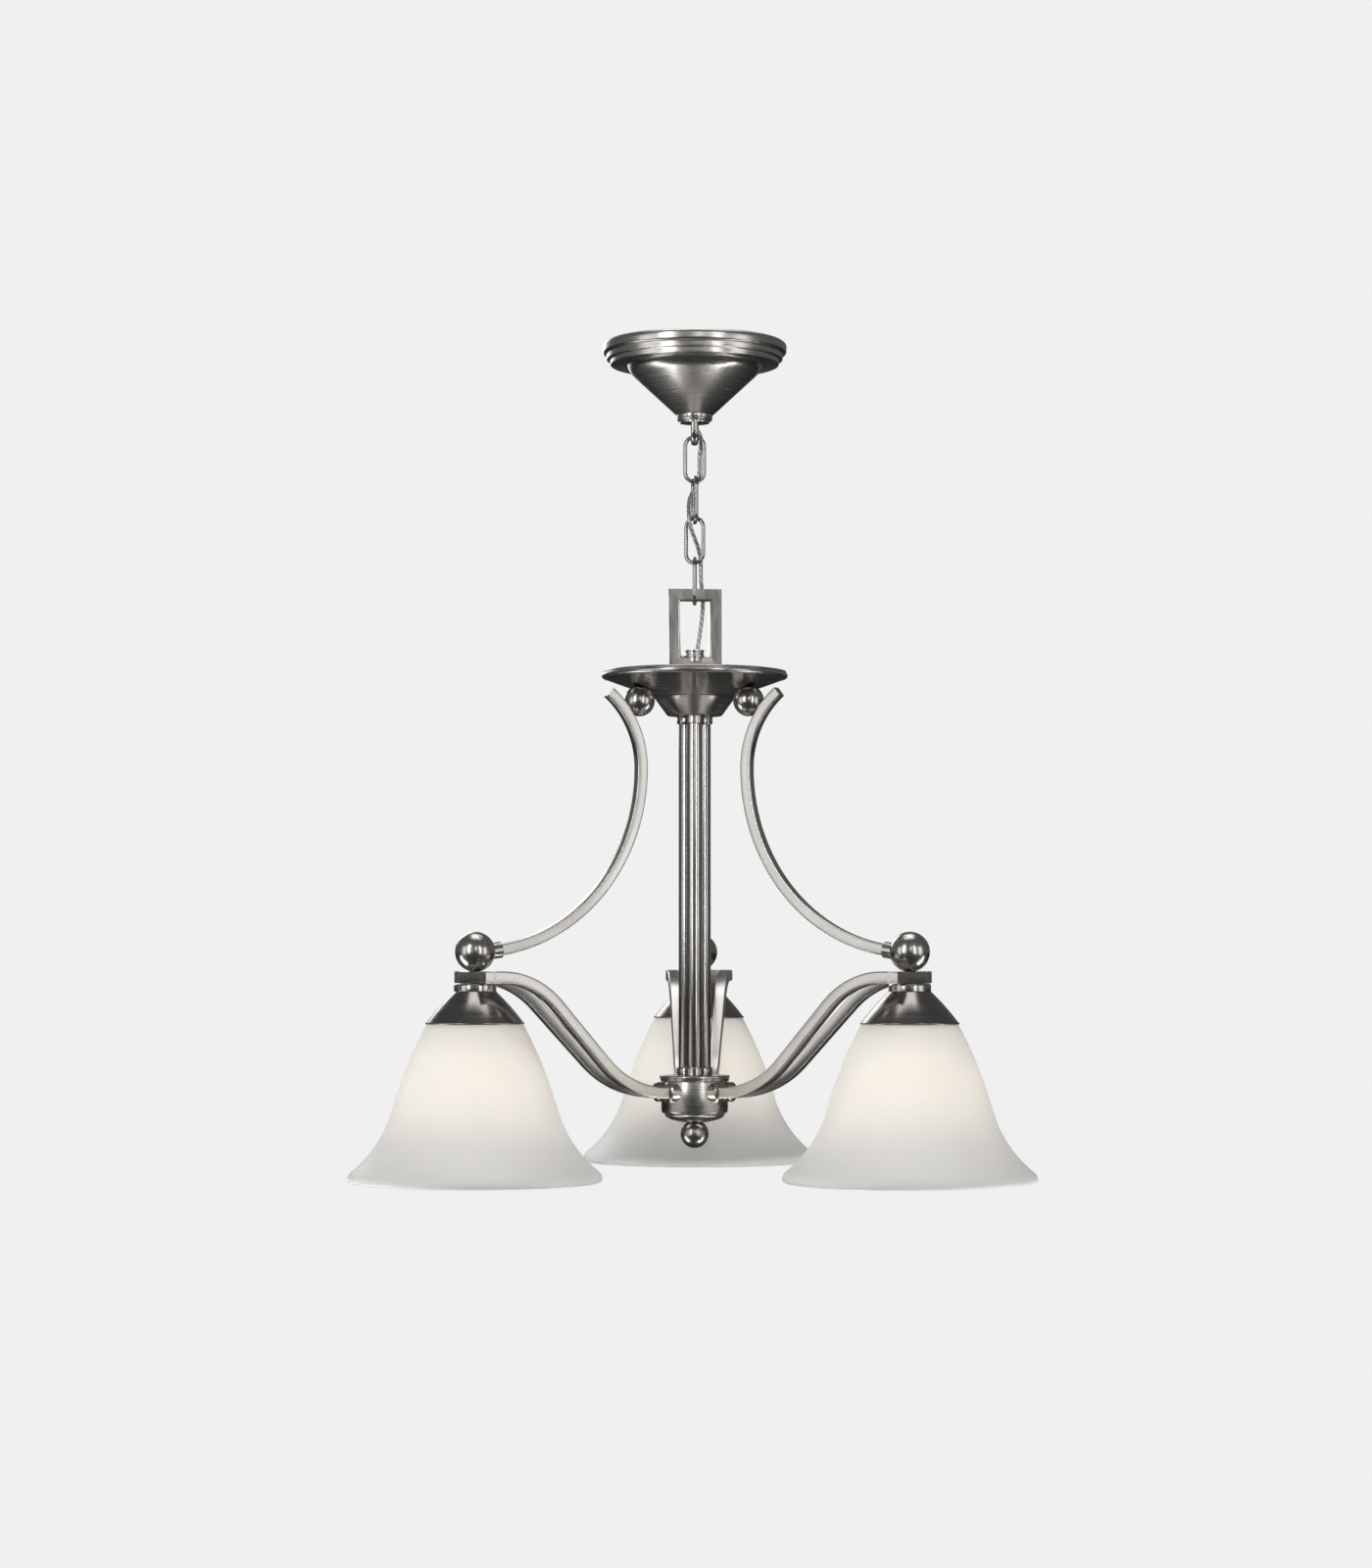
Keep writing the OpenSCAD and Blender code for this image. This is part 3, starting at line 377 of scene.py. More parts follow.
def brushedMetal(name, s):
    material, tree, shader = nodeKit(name)
    shader.inputs["Metallic"].default_value = 1.0
    shader.inputs["Anisotropic"].default_value = s["anisotropy"]
    lines = noise(tree, grainVector(tree, s["grain"]), 1.0, 3)
    coords = objectCoords(tree)
    clouds = noise(tree, coords, 38, 3)
    smudge = noise(tree, coords, 11, 2)
    dark = tuple(c * s["dark"] for c in s["colour"])
    grain = ramp(tree, lines, 0.3, 0.7, dark, s["colour"])
    worn = ramp(tree, clouds, 0.3, 0.75, (0.93, 0.92, 0.9), (1.0, 1.0, 1.0))
    colour = mixColour(tree, 1.0, grain, worn, "MULTIPLY")
    tree.links.new(colour, shader.inputs["Base Color"])
    rough = math2(tree, "ADD", mapRange(tree, lines, 0.2, 0.8, s["rough"] - 0.05, s["rough"] + 0.07),
                  mapRange(tree, smudge, 0.35, 0.7, -0.03, 0.05))
    tree.links.new(rough, shader.inputs["Roughness"])
    if s["grain"] in ("spun", "upright"):
        tangent = addNode(tree, "ShaderNodeTangent", direction_type="RADIAL", axis="Z")
        tree.links.new(tangent.outputs[0], shader.inputs["Tangent"])
    bumpFrom(tree, shader, lines, s["bump"], 0.00005)
    return material


def metal(name, colour, dark, rough, grain, anisotropy, bump):
    return brushedMetal(name, {"colour": colour, "dark": dark, "rough": rough, "grain": grain,
                               "anisotropy": anisotropy, "bump": bump})


nickelColour = (0.60, 0.585, 0.56)
nickel = metal("brushedNickelSpun", nickelColour, 0.90, 0.22, "spun", 0.6, 0.10)
nickelTube = metal("brushedNickelTube", nickelColour, 0.90, 0.17, "upright", 0.2, 0.08)
nickelBar = metal("brushedNickelBar", (0.62, 0.605, 0.58), 0.93, 0.27, "drawn", 0.0, 0.10)
# the finial ball is the same nickel as the other parts, given a darker base colour: painted shade
nickelBallShaded = metal("satinNickelBallPaintedShade", (0.36, 0.35, 0.335), 0.92, 0.24, "spun", 0.3, 0.07)
# the shade caps are the same nickel as the other parts, given a darker base colour: painted shade
nickelCapShaded = metal("nickelCapPaintedShade", (0.36, 0.345, 0.325), 0.9, 0.2, "spun", 0.6, 0.10)
nickelSmall = metal("nickelFittings", (0.56, 0.545, 0.52), 0.92, 0.22, "fine", 0.0, 0.07)
chainMetal = metal("chainNickel", (0.46, 0.445, 0.425), 0.8, 0.2, "drawn", 0.0, 0.12)
plated = metal("platedSteel", (0.66, 0.62, 0.52), 0.85, 0.33, "fine", 0.0, 0.12)
brassBase = metal("bulbBaseMetal", (0.75, 0.72, 0.66), 0.9, 0.24, "spun", 0.2, 0.12)


def etchedGlass(name, s):
    material, tree, shader = nodeKit(name)
    coords = objectCoords(tree)
    cloud = noise(tree, coords, 16, 4)
    speck = noise(tree, coords, 900, 2)
    colour = ramp(tree, cloud, 0.25, 0.8, s["shadeColour"], s["colour"])
    tree.links.new(colour, shader.inputs["Base Color"])
    tree.links.new(mapRange(tree, speck, 0.2, 0.8, s["rough"] - 0.05, s["rough"] + 0.06),
                   shader.inputs["Roughness"])
    shader.inputs["Subsurface Weight"].default_value = s["depth"]
    shader.inputs["Subsurface Radius"].default_value = (1.0, 0.95, 0.88)
    shader.inputs["Subsurface Scale"].default_value = s["reach"]
    shader.inputs["Specular IOR Level"].default_value = 0.35
    bumpFrom(tree, shader, speck, 0.12, 0.00008)
    return material


shadeGlass = etchedGlass("etchedShadeGlass", {
    "colour": (0.93, 0.92, 0.90), "shadeColour": (0.89, 0.875, 0.85),
    "rough": 0.42, "depth": 0.85, "reach": 0.006})


def bulbGlassMaterial(name, s):
    material, tree, shader = nodeKit(name)
    cloud = noise(tree, objectCoords(tree), 60, 3)
    colour = ramp(tree, cloud, 0.3, 0.7, (0.93, 0.91, 0.87), (0.97, 0.96, 0.94))
    tree.links.new(colour, shader.inputs["Base Color"])
    tree.links.new(mapRange(tree, cloud, 0.2, 0.8, 0.3, 0.4), shader.inputs["Roughness"])
    shader.inputs["Emission Color"].default_value = (*s["glow"], 1)
    shader.inputs["Emission Strength"].default_value = s["strength"]
    bumpFrom(tree, shader, cloud, 0.05, 0.0001)
    return material


bulbGlass = bulbGlassMaterial("frostedBulbGlass", {"glow": (1.0, 0.95, 0.88), "strength": 4.4})


def mouldedPlastic(name, s):
    material, tree, shader = nodeKit(name)
    coords = objectCoords(tree)
    pebble = noise(tree, coords, s["texture"], 3)
    cloud = noise(tree, coords, 30, 2)
    dark = tuple(c * 0.8 for c in s["colour"])
    tree.links.new(ramp(tree, cloud, 0.3, 0.7, dark, s["colour"]), shader.inputs["Base Color"])
    tree.links.new(mapRange(tree, pebble, 0.2, 0.8, s["rough"] - 0.06, s["rough"] + 0.08),
                   shader.inputs["Roughness"])
    bumpFrom(tree, shader, pebble, 0.25, 0.00008)
    return material


phenolic = mouldedPlastic("socketPhenolic", {
    "colour": (0.035, 0.03, 0.027), "rough": 0.4, "texture": 1400})
connectorPlastic = mouldedPlastic("connectorPlastic", {
    "colour": (0.78, 0.33, 0.05), "rough": 0.45, "texture": 1100})
leadPlastic = mouldedPlastic("leadInsulation", {
    "colour": (0.62, 0.62, 0.6), "rough": 0.38, "texture": 1800})
greenPaint = mouldedPlastic("greenScrewPaint", {
    "colour": (0.04, 0.24, 0.08), "rough": 0.32, "texture": 900})


def cordJacket(name, s):
    # clear jacket over twisted tinned strands
    material, tree, shader = nodeKit(name)
    coords = addNode(tree, "ShaderNodeTexCoord")
    split = addNode(tree, "ShaderNodeSeparateXYZ")
    tree.links.new(coords.outputs["UV"], split.inputs[0])
    lay = math2(tree, "ADD", math2(tree, "MULTIPLY", split.outputs[0], s["twist"]),
                math2(tree, "MULTIPLY", split.outputs[1], s["strands"]))
    strand = math2(tree, "SINE", math2(tree, "MULTIPLY", lay, 2 * math.pi), None)
    cloud = noise(tree, coords.outputs["Object"], 300, 2)
    band = mapRange(tree, strand, -1, 1, 0, 1)
    # the strands keep their own silver; the dark gap colour between them is painted shade in the crevices
    strandsAndPaintedShade = ramp(tree, band, 0.1, 0.9, s["gap"], s["colour"])
    tree.links.new(mixColour(tree, 1.0, strandsAndPaintedShade, ramp(tree, cloud, 0.2, 0.8, (0.85, 0.85, 0.85), (1, 1, 1)),
                             "MULTIPLY"), shader.inputs["Base Color"])
    tree.links.new(mapRange(tree, cloud, 0.2, 0.8, 0.22, 0.34), shader.inputs["Roughness"])
    shader.inputs["Metallic"].default_value = 0.45
    shader.inputs["Coat Weight"].default_value = 0.7
    shader.inputs["Coat Roughness"].default_value = 0.12
    bumpFrom(tree, shader, band, 0.3, 0.0002)
    return material


# gap is the painted shade between the strands
cordSilver = cordJacket("clearSilverCord", {
    "colour": (0.66, 0.67, 0.68), "gap": (0.30, 0.30, 0.31), "twist": 210.0, "strands": 198.0})
print("stage: materials")


# cord, threaded down the chain in five stretches

cordRun = {
    "diameter": 3.2,
    "points": [
        (0, 0, -56), (0, 0, -60), (0, 0.6, -64), (0.8, 2.6, -67.4), (2.4, 4, -70.6),
        (4.2, 4.6, -74), (5.2, 4.4, -77.6), (5.2, 4, -81.4), (4.6, 3.8, -85.6), (4, 3.6, -90),
        (3.8, 3.6, -94), (3.8, 3.6, -98.6), (3.8, 3.8, -103.4), (3.4, 4, -108), (2.6, 4, -111.6),
        (1.2, 3.6, -115.2), (-0.4, 3.1, -118.6), (-2.2, 2.5, -121.8), (-3.6, 1.8, -124.8),
        (-4.4, 1, -127.6), (-4.8, 0, -131.2), (-5, -1.4, -135), (-4.8, -2.8, -138.6),
        (-4.6, -3.8, -142), (-4.2, -4, -145.6), (-3.4, -3.6, -149.6), (-2.2, -2.6, -153.4),
        (-0.8, -1.2, -157.2), (0.6, 0.4, -160.8), (2, 2, -164.4), (3.2, 3.4, -168.2),
        (4.2, 4.4, -172.2), (4.8, 4.9, -176.2), (5, 5, -180.4), (5, 4.8, -185), (5, 4.8, -189.6),
        (5.2, 5, -194), (5.6, 5.6, -198.4), (6.2, 6.4, -202.8), (6.6, 6.6, -207),
        (6.6, 6, -211.4), (6.4, 5, -216.4), (6, 3.8, -222), (5.4, 2.8, -228), (4.6, 2, -234),
        (3.8, 1.2, -240), (2.8, 0.6, -246), (2.2, 0.3, -251), (2, 0.2, -255)],
    "cuts": (0, 10, 19, 28, 36, 48),
    "bodies": ("mounting", "chain_1", "chain_2", "chain_3", "chain_4", "fixture"),
}


def smoothRoute(points, first, last, parts=3):
    # a curve through the points that keeps its direction across the cuts
    out = []
    for i in range(first, last):
        p0, p1 = Vector(points[max(i - 1, 0)]), Vector(points[i])
        p2, p3 = Vector(points[i + 1]), Vector(points[min(i + 2, len(points) - 1)])
        for k in range(parts):
            t = k / parts
            q = 0.5 * (2 * p1 + (p2 - p0) * t + (2 * p0 - 5 * p1 + 4 * p2 - p3) * t ** 2
                       + (3 * p1 - p0 - 3 * p2 + p3) * t ** 3)
            out.append(q * mm)
    out.append(Vector(points[last]) * mm)
    return out


def addCords(s):
    radius = s["diameter"] * mm / 2
    for k in range(5):
        route = smoothRoute(s["points"], s["cuts"][k], s["cuts"][k + 1])
        bm = bmesh.new()
        sweep(bm, route, ringOutline(radius, 20))
        piece = finishPiece("cordStretch%d" % (k + 1), bm, cordSilver, None, sharp=60)
        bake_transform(piece)
        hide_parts("cord_%d" % (k + 1))
        done.add("cord_%d" % (k + 1))


addCords(cordRun)
print("stage: cord")


# canopy and ring nut

canopySize = {
    "rimHeight": 9.5 * mm,
    "stepHeight": 4.3 * mm,
    "stepIn": 3.1 * mm,
    "coneIn": 20 * mm,
    "shoulderRadius": 19 * mm,
    "wall": 1.0 * mm,
    "hole": 12.6 * mm,
    "rimRound": 3.0 * mm,
    "edgeRound": 2.6 * mm,
    "shoulderAngles": (16, 21, 26, 31, 36, 41, 47),
}


def addCanopy(s):
    low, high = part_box("canopy")
    r, bottom = high.x, low.z
    rim, step, inset = s["rimHeight"], s["stepHeight"], s["stepIn"]
    base = -(rim + 2 * step)
    rimRound, edgeRound = s["rimRound"], s["edgeRound"]
    outer = [(r - edgeRound, 0)] + arc((r - rimRound, -rimRound - 0.3 * mm), rimRound, 70, 0, 6)
    outer += arc((r - edgeRound, -rim + edgeRound), edgeRound, 0, -80, 6)
    outer += [(r - inset, -rim), (r - inset, -rim - step), (r - 2 * inset, -rim - step),
              (r - 2 * inset, base)]
    coneTop = r - s["coneIn"]
    sweepR = s["shoulderRadius"]
    bends = [math.radians(a) for a in s["shoulderAngles"]]
    outer += [(coneTop - sweepR * (math.cos(bends[0]) - math.cos(a)),
               base - sweepR * (math.sin(a) - math.sin(bends[0]))) for a in bends]
    outer += [(s["hole"] + 2.8 * mm, bottom), (s["hole"], bottom)]
    outer = softened(outer, 0.7 * mm)
    inner = [(s["hole"], bottom + s["wall"]), (s["hole"] + 3.4 * mm, bottom + s["wall"]),
             (coneTop - 2 * mm, base + s["wall"]), (r - 2 * inset - s["wall"], base + s["wall"]),
             (r - 4.2 * mm, -1.2 * mm), (r - 3.6 * mm, 0)]
    spunPiece("canopyShell", outer + inner, nickel, "canopy", ["canopy"], closed=True,
              segments=160)


ringNut = {"groove": 0.7 * mm, "bore": 12.3 * mm}


def addRingNut(s):
    low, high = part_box("canopy_ring_nut")
    r, top, bottom = high.x, high.z, low.z
    bore = s["bore"]
    outer = [(bore, top), (r, top), (r, top - 2.2 * mm), (r - s["groove"], top - 2.5 * mm),
             (r - s["groove"], top - 3.1 * mm), (r, top - 3.4 * mm), (r - 0.2 * mm, bottom + 1.6 * mm),
             (r - 1.4 * mm, bottom + 0.4 * mm), (r - 3 * mm, bottom), (bore, bottom)]
    spunPiece("ringNut", softened(outer, 0.4 * mm), nickel, "ring_nut", ["canopy_ring_nut"],
              closed=True)


addCanopy(canopySize)
addRingNut(ringNut)
print("stage: canopy")


# chain

chainLink = {
    "wire": 3.2 * mm,
    "endRadius": 9.3 * mm,
    "turns": (0, 102, -24, 90),     # degrees about Z, link by link
    "steps": 22,
    "sideSteps": 6,
}


def addChain(s):
    for k in range(4):
        low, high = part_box("link_%d" % (k + 1))
        turn = math.radians(s["turns"][k])
        spread = s["endRadius"] - s["wire"] / 2
        topZ, bottomZ = high.z - s["endRadius"], low.z + s["endRadius"]
        path = []
        for startAngle, hand, fromZ, toZ in ((0, -1, topZ, bottomZ), (math.pi, 1, bottomZ, topZ)):
            for i in range(s["steps"] + 1):
                a = startAngle + math.pi * i / s["steps"]
                path.append((spread * math.cos(a), fromZ + spread * math.sin(a)))
            for i in range(1, s["sideSteps"]):
                path.append((hand * spread, fromZ + (toZ - fromZ) * i / s["sideSteps"]))
        points = [(x * math.cos(turn), x * math.sin(turn), z) for x, z in path]
        side = (-math.sin(turn), math.cos(turn), 0)
        bm = bmesh.new()
        sweep(bm, points, ringOutline(s["wire"] / 2, 20), side, closed=True)
        finishPiece("chainLink%d" % (k + 1), bm, chainMetal, "chain_%d" % (k + 1),
                    ["link_%d" % (k + 1)], sharp=60)


addChain(chainLink)
print("stage: chain")


# square loop, bushing and dish

loopFrame = {"bar": 8.4 * mm, "width": 41.2 * mm, "depth": 6.0 * mm, "turn": 8, "corner": 1.3 * mm}


def addHangLoop(s):
    low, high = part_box("hang_loop")
    turn = Matrix.Rotation(math.radians(s["turn"]), 4, "Z")
    outerX, innerX = s["width"] / 2, s["width"] / 2 - s["bar"]
    outerZ = (low.z, high.z)
    innerZ = (low.z + s["bar"], high.z - s["bar"])
    bm = bmesh.new()
    half = s["depth"] / 2
    rims = []
    for y in (-half, half):
        outer, inner = ([bm.verts.new((sx * x, y, z[i])) for sx, i in ((-1, 0), (1, 0), (1, 1), (-1, 1))]
                        for x, z in ((outerX, outerZ), (innerX, innerZ)))
        for k in range(4):
            n = (k + 1) % 4
            bm.faces.new((outer[k], outer[n], inner[n], inner[k]))
        rims.append((outer, inner))
    for k in range(4):
        n = (k + 1) % 4
        bm.faces.new((rims[0][0][k], rims[0][0][n], rims[1][0][n], rims[1][0][k]))
        bm.faces.new((rims[0][1][k], rims[0][1][n], rims[1][1][n], rims[1][1][k]))
    bm.normal_update()
    corners = [e for e in bm.edges if len(e.link_faces) == 2
               and abs(e.link_faces[0].normal.dot(e.link_faces[1].normal)) < 0.5]
    bmesh.ops.bevel(bm, geom=corners, offset=s["corner"], segments=4, profile=0.5, affect="EDGES")
    bmesh.ops.transform(bm, matrix=turn, verts=bm.verts)
    finishPiece("hangLoop", bm, nickelSmall, "fixture", ["hang_loop"], sharp=40)


bushing = {"bore": 4.2 * mm, "flare": 0.5 * mm}


def addBushing(s):
    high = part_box("cord_bushing")[1]
    r = high.x
    base = high.z - 5.8 * mm
    outer = [(s["bore"], base - 4 * mm), (6.2 * mm, base - 4 * mm), (6.2 * mm, base), (r, base),
             (r, base + 1.4 * mm), (r - 0.7 * mm, base + 2.2 * mm), (r - 0.7 * mm, high.z - 2 * mm),
             (r - 0.2 * mm, high.z - 1.4 * mm), (r - 0.2 * mm, high.z), (s["bore"] + 0.6 * mm, high.z),
             (s["bore"], high.z - 0.8 * mm)]
    spunPiece("cordBushing", softened(outer, 0.4 * mm, closed=True), nickel, "fixture",
              ["cord_bushing"], closed=True, segments=72)


dishSize = {
    "bead": 2.5 * mm,
    "cover": 1.2 * mm,
    "coverHole": 6.5 * mm,
    "coverFlat": 12 * mm,
    "saucerSlope": 20,
    "saucerRun": 40.8 * mm,
    "footSlope": 54,
    "wall": 1.2 * mm,
}


def addDish(s):
    low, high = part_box("top_dish")
    r, bottom = high.x, low.z
    beadCentre = (r - s["bead"], high.z - s["bead"])
    under = walk((beadCentre[0], beadCentre[1] - s["bead"]), s["saucerSlope"] - 90,
                 [(s["saucerRun"], 0), (3.2 * mm, s["footSlope"] - s["saucerSlope"])], 5)
    x, z, heading = under[-1]
    drop = z - bottom - 0.7 * mm
    under += walk((x, z), heading, [(drop / math.sin(math.radians(s["footSlope"])), 0),
                                    (1.6 * mm, -s["footSlope"])], 5)[1:]
    inner = offset(under, -s["wall"])
    floorEdge = beadCentre[0] - 3 * mm
    outline = [(floorEdge, high.z)] + arc(beadCentre, s["bead"], 90, -75, 12)
    outline += [(p[0], p[1]) for p in under] + [(0, bottom), (0, bottom + s["wall"])]
    outline += inner[::-1][:-1] + [(floorEdge, inner[0][1])]
    spunPiece("dishBody", outline + [outline[0]], nickel, "fixture", ["top_dish"],
              segments=160)
    low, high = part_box("dish_cover")
    edge = high.x
    hole, flat, thick = s["coverHole"], s["coverFlat"], s["cover"]
    cover = [(hole, high.z), (flat, high.z), (edge - 3 * mm, low.z + thick + 0.2 * mm),
             (edge - 0.4 * mm, low.z + thick - 0.3 * mm), (edge, low.z + 0.4 * mm),
             (edge - 0.6 * mm, low.z), (edge - 5 * mm, low.z), (flat, high.z - thick),
             (hole, high.z - thick)]
    spunPiece("dishCover", cover, nickel, "fixture", ["dish_cover"], closed=True,
              segments=160)


addHangLoop(loopFrame)
addBushing(bushing)
addDish(dishSize)
print("stage: loop and dish")


# column

columnSize = {
    "tube": 12.7 * mm,
    "wall": 1.0 * mm,
    "ring": 7.8 * mm,
    "angles": (-90, 30, 150),
    "collarOver": 1.45 * mm,
    "collarEase": 0.5 * mm,
    "collarReach": 15 * mm,
}


def addColumn(s):
    for k, angle in enumerate(s["angles"]):
        low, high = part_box("column_tube_%d" % (k + 1))
        centre = around(angle, s["ring"])
        r = s["tube"] / 2
        inside = r - s["wall"]
        outline = [(r, low.z), (r, high.z), (inside, high.z), (inside, low.z)]
        spunPiece("columnTube%d" % (k + 1), softened(outline, 0.2 * mm, closed=True), nickelTube,
                  "fixture", ["column_tube_%d" % (k + 1)], (centre.x, centre.y),
                  closed=True, segments=64)
    addCollar("columnCollarTop", "column_collar_top", s)
    addCollar("columnCollarBottom", "column_collar_bottom", s)


def addCollar(name, node, s):
    # three lobes, each an arc that runs to where it meets its neighbours
    low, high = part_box(node)
    outer = s["tube"] / 2 + s["collarOver"]
    cross = s["ring"] * math.sin(math.radians(60))
    turnTo = 60 + math.degrees(math.acos(min(1, cross / outer))) + 30
    outline = []
    for angle in s["angles"]:
        centre = around(angle, s["ring"])
        outline += arc(centre, outer, angle - turnTo, angle + turnTo, 24)
    ease, height = s["collarEase"], high.z - low.z
    bm = bmesh.new()
    rings = []
    for rise, shrink in ((0.0, ease), (ease, 0.0), (height - ease, 0.0), (height, ease)):
        scale = 1 - shrink / s["collarReach"]
        rings.append([bm.verts.new((x * scale, y * scale, low.z + rise)) for x, y in outline])
    count = len(outline)
    for a, b in zip(rings, rings[1:]):
        for i in range(count):
            bm.faces.new((a[i], a[(i + 1) % count], b[(i + 1) % count], b[i]))
    bm.faces.new(rings[0])
    bm.faces.new(rings[-1])
    finishPiece(name, bm, nickelSmall, "fixture", [node], sharp=40)


addColumn(columnSize)
print("stage: column")


# hub and finial

hubSize = {"capStep": 1.6 * mm, "cupHole": 4 * mm, "cupWall": 2.2 * mm, "finialRadius": 11.5 * mm}


def ballOutline(radius, centreZ, start, end, steps=28):
    return [(max(0.0, radius * math.cos(math.radians(a))), centreZ + radius * math.sin(math.radians(a)))
            for a in [start + (end - start) * i / steps for i in range(steps + 1)]]


def addHub(s):
    low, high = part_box("hub_cup")
    r, top, bottom = high.x, high.z, low.z
    hole, plate, inside = s["cupHole"], bottom + s["cupWall"], r - s["cupWall"]
    cup = [(r, top), (r, bottom + 3 * mm), (r - 0.6 * mm, bottom + 1.2 * mm),
           (r - 1.8 * mm, bottom + 0.2 * mm), (r - 3 * mm, bottom), (hole, bottom), (hole, plate),
           (r - 3 * mm, plate), (inside, bottom + 3.2 * mm), (inside, top)]
    spunPiece("hubCup", softened(cup, 0.4 * mm, closed=True), nickel, "fixture", ["hub_cup"],
              closed=True)
    low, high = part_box("hub_lid")
    r = high.x
    lid = [(0, high.z), (r - 0.4 * mm, high.z), (r, high.z - 0.6 * mm), (r, high.z - 2.0 * mm),
           (r - 0.5 * mm, high.z - 2.4 * mm), (r - 0.5 * mm, low.z + 0.6 * mm), (r - 1.0 * mm, low.z),
           (0, low.z)]
    spunPiece("hubLid", softened(lid, 0.3 * mm), nickel, "fixture", ["hub_lid"])
    low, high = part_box("hub_cap")
    r = high.x
    cap = [(0, high.z), (r, high.z), (r, high.z - s["capStep"]), (r - 1.6 * mm, high.z - 3.2 * mm),
           (r - 4 * mm, low.z + 2.0 * mm), (r - 11 * mm, low.z), (0, low.z)]
    spunPiece("hubCap", softened(cap, 0.5 * mm), nickel, "fixture", ["hub_cap"])
    low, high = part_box("finial_ball")
    radius, topAngle = s["finialRadius"], 72
    centreZ = low.z + radius
    ball = ballOutline(radius, centreZ, -90, topAngle)
    ball.append((0, centreZ + radius * math.sin(math.radians(topAngle))))
    spunPiece("finialBall", ball, nickelBallShaded, "fixture", ["finial_ball"], segments=72)


addHub(hubSize)
print("stage: hub")


# arms: two square bars each, with a cross bar at the lamp

armSize = {
    "light": 198.0,
    "hub": 27.2,
    "bar": 9.5,
    "corner": 1.2,
    "halfIn": 9.55,
    "halfOut": 24.0,
    "inside": 7,               # how far a bar runs on inside its boss
    "crossOver": 4.5,
    "level": 6.4,
    "bendLow": 79.3,
    "bendHigh": 71.1,
    "slope": 46.4,
    "rise": 93.8,
}


def addArms(s):
    fan = math.atan2(s["halfOut"] - s["halfIn"], s["light"] - s["hub"])
    slope = math.radians(s["slope"])
    straight = (s["rise"] - (s["bendLow"] + s["bendHigh"]) * (1 - math.cos(slope))) / math.sin(slope)
    run = (s["bendLow"] + s["bendHigh"]) * math.sin(slope) + straight * math.cos(slope)
    tip = (s["light"] + s["bar"] / 2 - s["hub"]) / math.cos(fan)
    section = toMetres(easedSquare(s["bar"], s["bar"], s["corner"]))
    for k, angle in enumerate(armAngles):
        low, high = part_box("arm_%d" % (k + 1))
        hubZ = low.z / mm + s["bar"] / 2
        crossZ = high.z / mm - s["bar"] / 2
        bm = bmesh.new()
        for hand in (-1, 1):
            line = walk((-s["inside"], 0), 90, [
                (s["level"] + s["inside"], 0), (s["bendLow"] * slope, s["slope"]), (straight, 0),
                (s["bendHigh"] * slope, -s["slope"]), (tip - s["level"] - run, 0)], 16)
            points = []
            for x, z, h in line:
                p = around(math.degrees(fan) * hand, x)
                points.append(around(angle, s["hub"] + p.x, hand * s["halfIn"] + p.y, hubZ + z) * mm)
            side = around(angle, -math.sin(fan) * hand, math.cos(fan))
            sweep(bm, points, section, side)
        reach = s["halfOut"] + s["crossOver"]
        ends = [around(angle, s["light"], y, crossZ) * mm for y in (-reach, reach)]
        sweep(bm, ends, section, (0, 0, 1))
        finishPiece("armFrame%d" % (k + 1), bm, nickelBar, "fixture", ["arm_%d" % (k + 1)],
                    sharp=28)


strapSize = {
    "thick": 9.0,
    "width": 8.0,
    "corner": 1.2,
    "waist": 49.5,
    "bendTop": 76.0,
    "topAngle": 51.6,
    "straight": 0.6,
    "ball": 31.8,
    "upperBall": 12.5,         # radius
}


def addStraps(s):
    bendLow = armSize["light"] - s["waist"]
    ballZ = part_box("arm_balls")[1].z / mm - s["ball"] / 2
    endR = armSize["light"] - s["ball"] / 2 - 2
    a = math.degrees(math.asin((armSize["light"] - endR) / bendLow))
    top = s["topAngle"]
    bendZ = ballZ + bendLow + s["straight"]
    start = (s["waist"] + s["bendTop"] * (1 - math.cos(math.radians(top))),
             bendZ + s["bendTop"] * math.sin(math.radians(top)))
    line = walk(start, -top, [(s["bendTop"] * math.radians(top), top), (s["straight"], 0),
                              (bendLow * math.radians(90 - a), 90 - a)], 30)
    section = toMetres(easedSquare(s["thick"], s["width"], s["corner"]))
    for k, angle in enumerate(armAngles):
        bm = bmesh.new()
        points = [around(angle, x, 0, z) * mm for x, z, h in line]
        sweep(bm, points, section, around(angle, 0, 1))
        finishPiece("upperStrap%d" % (k + 1), bm, nickelBar, "fixture",
                    ["upper_strap_%d" % (k + 1)], sharp=28)
    return ballZ


addArms(armSize)
ballZ = addStraps(strapSize)
print("stage: arms and straps")


# balls

def addBalls():
    radius = strapSize["ball"] * mm / 2
    bm = bmesh.new()
    for angle in armAngles:
        c = around(angle, armSize["light"]) * mm
        spin(bm, ballOutline(radius, ballZ * mm, -86, 90, 36), (c.x, c.y), 72)
    finishPiece("armBalls", bm, nickelSmall, "fixture", ["arm_balls"], sharp=50)
    low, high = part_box("upper_balls")
    upper = strapSize["upperBall"] * mm
    centreZ = low.z + upper
    reach = high.y - upper
    bm = bmesh.new()
    for angle in armAngles:
        c = around(angle, reach)
        spin(bm, ballOutline(upper, centreZ, -90, 62, 32), (c.x, c.y), 64)
    finishPiece("upperBalls", bm, nickelSmall, "fixture", ["upper_balls"], sharp=50)


addBalls()
print("stage: balls")


# lamps: fitter, cap, shade, socket and bulb

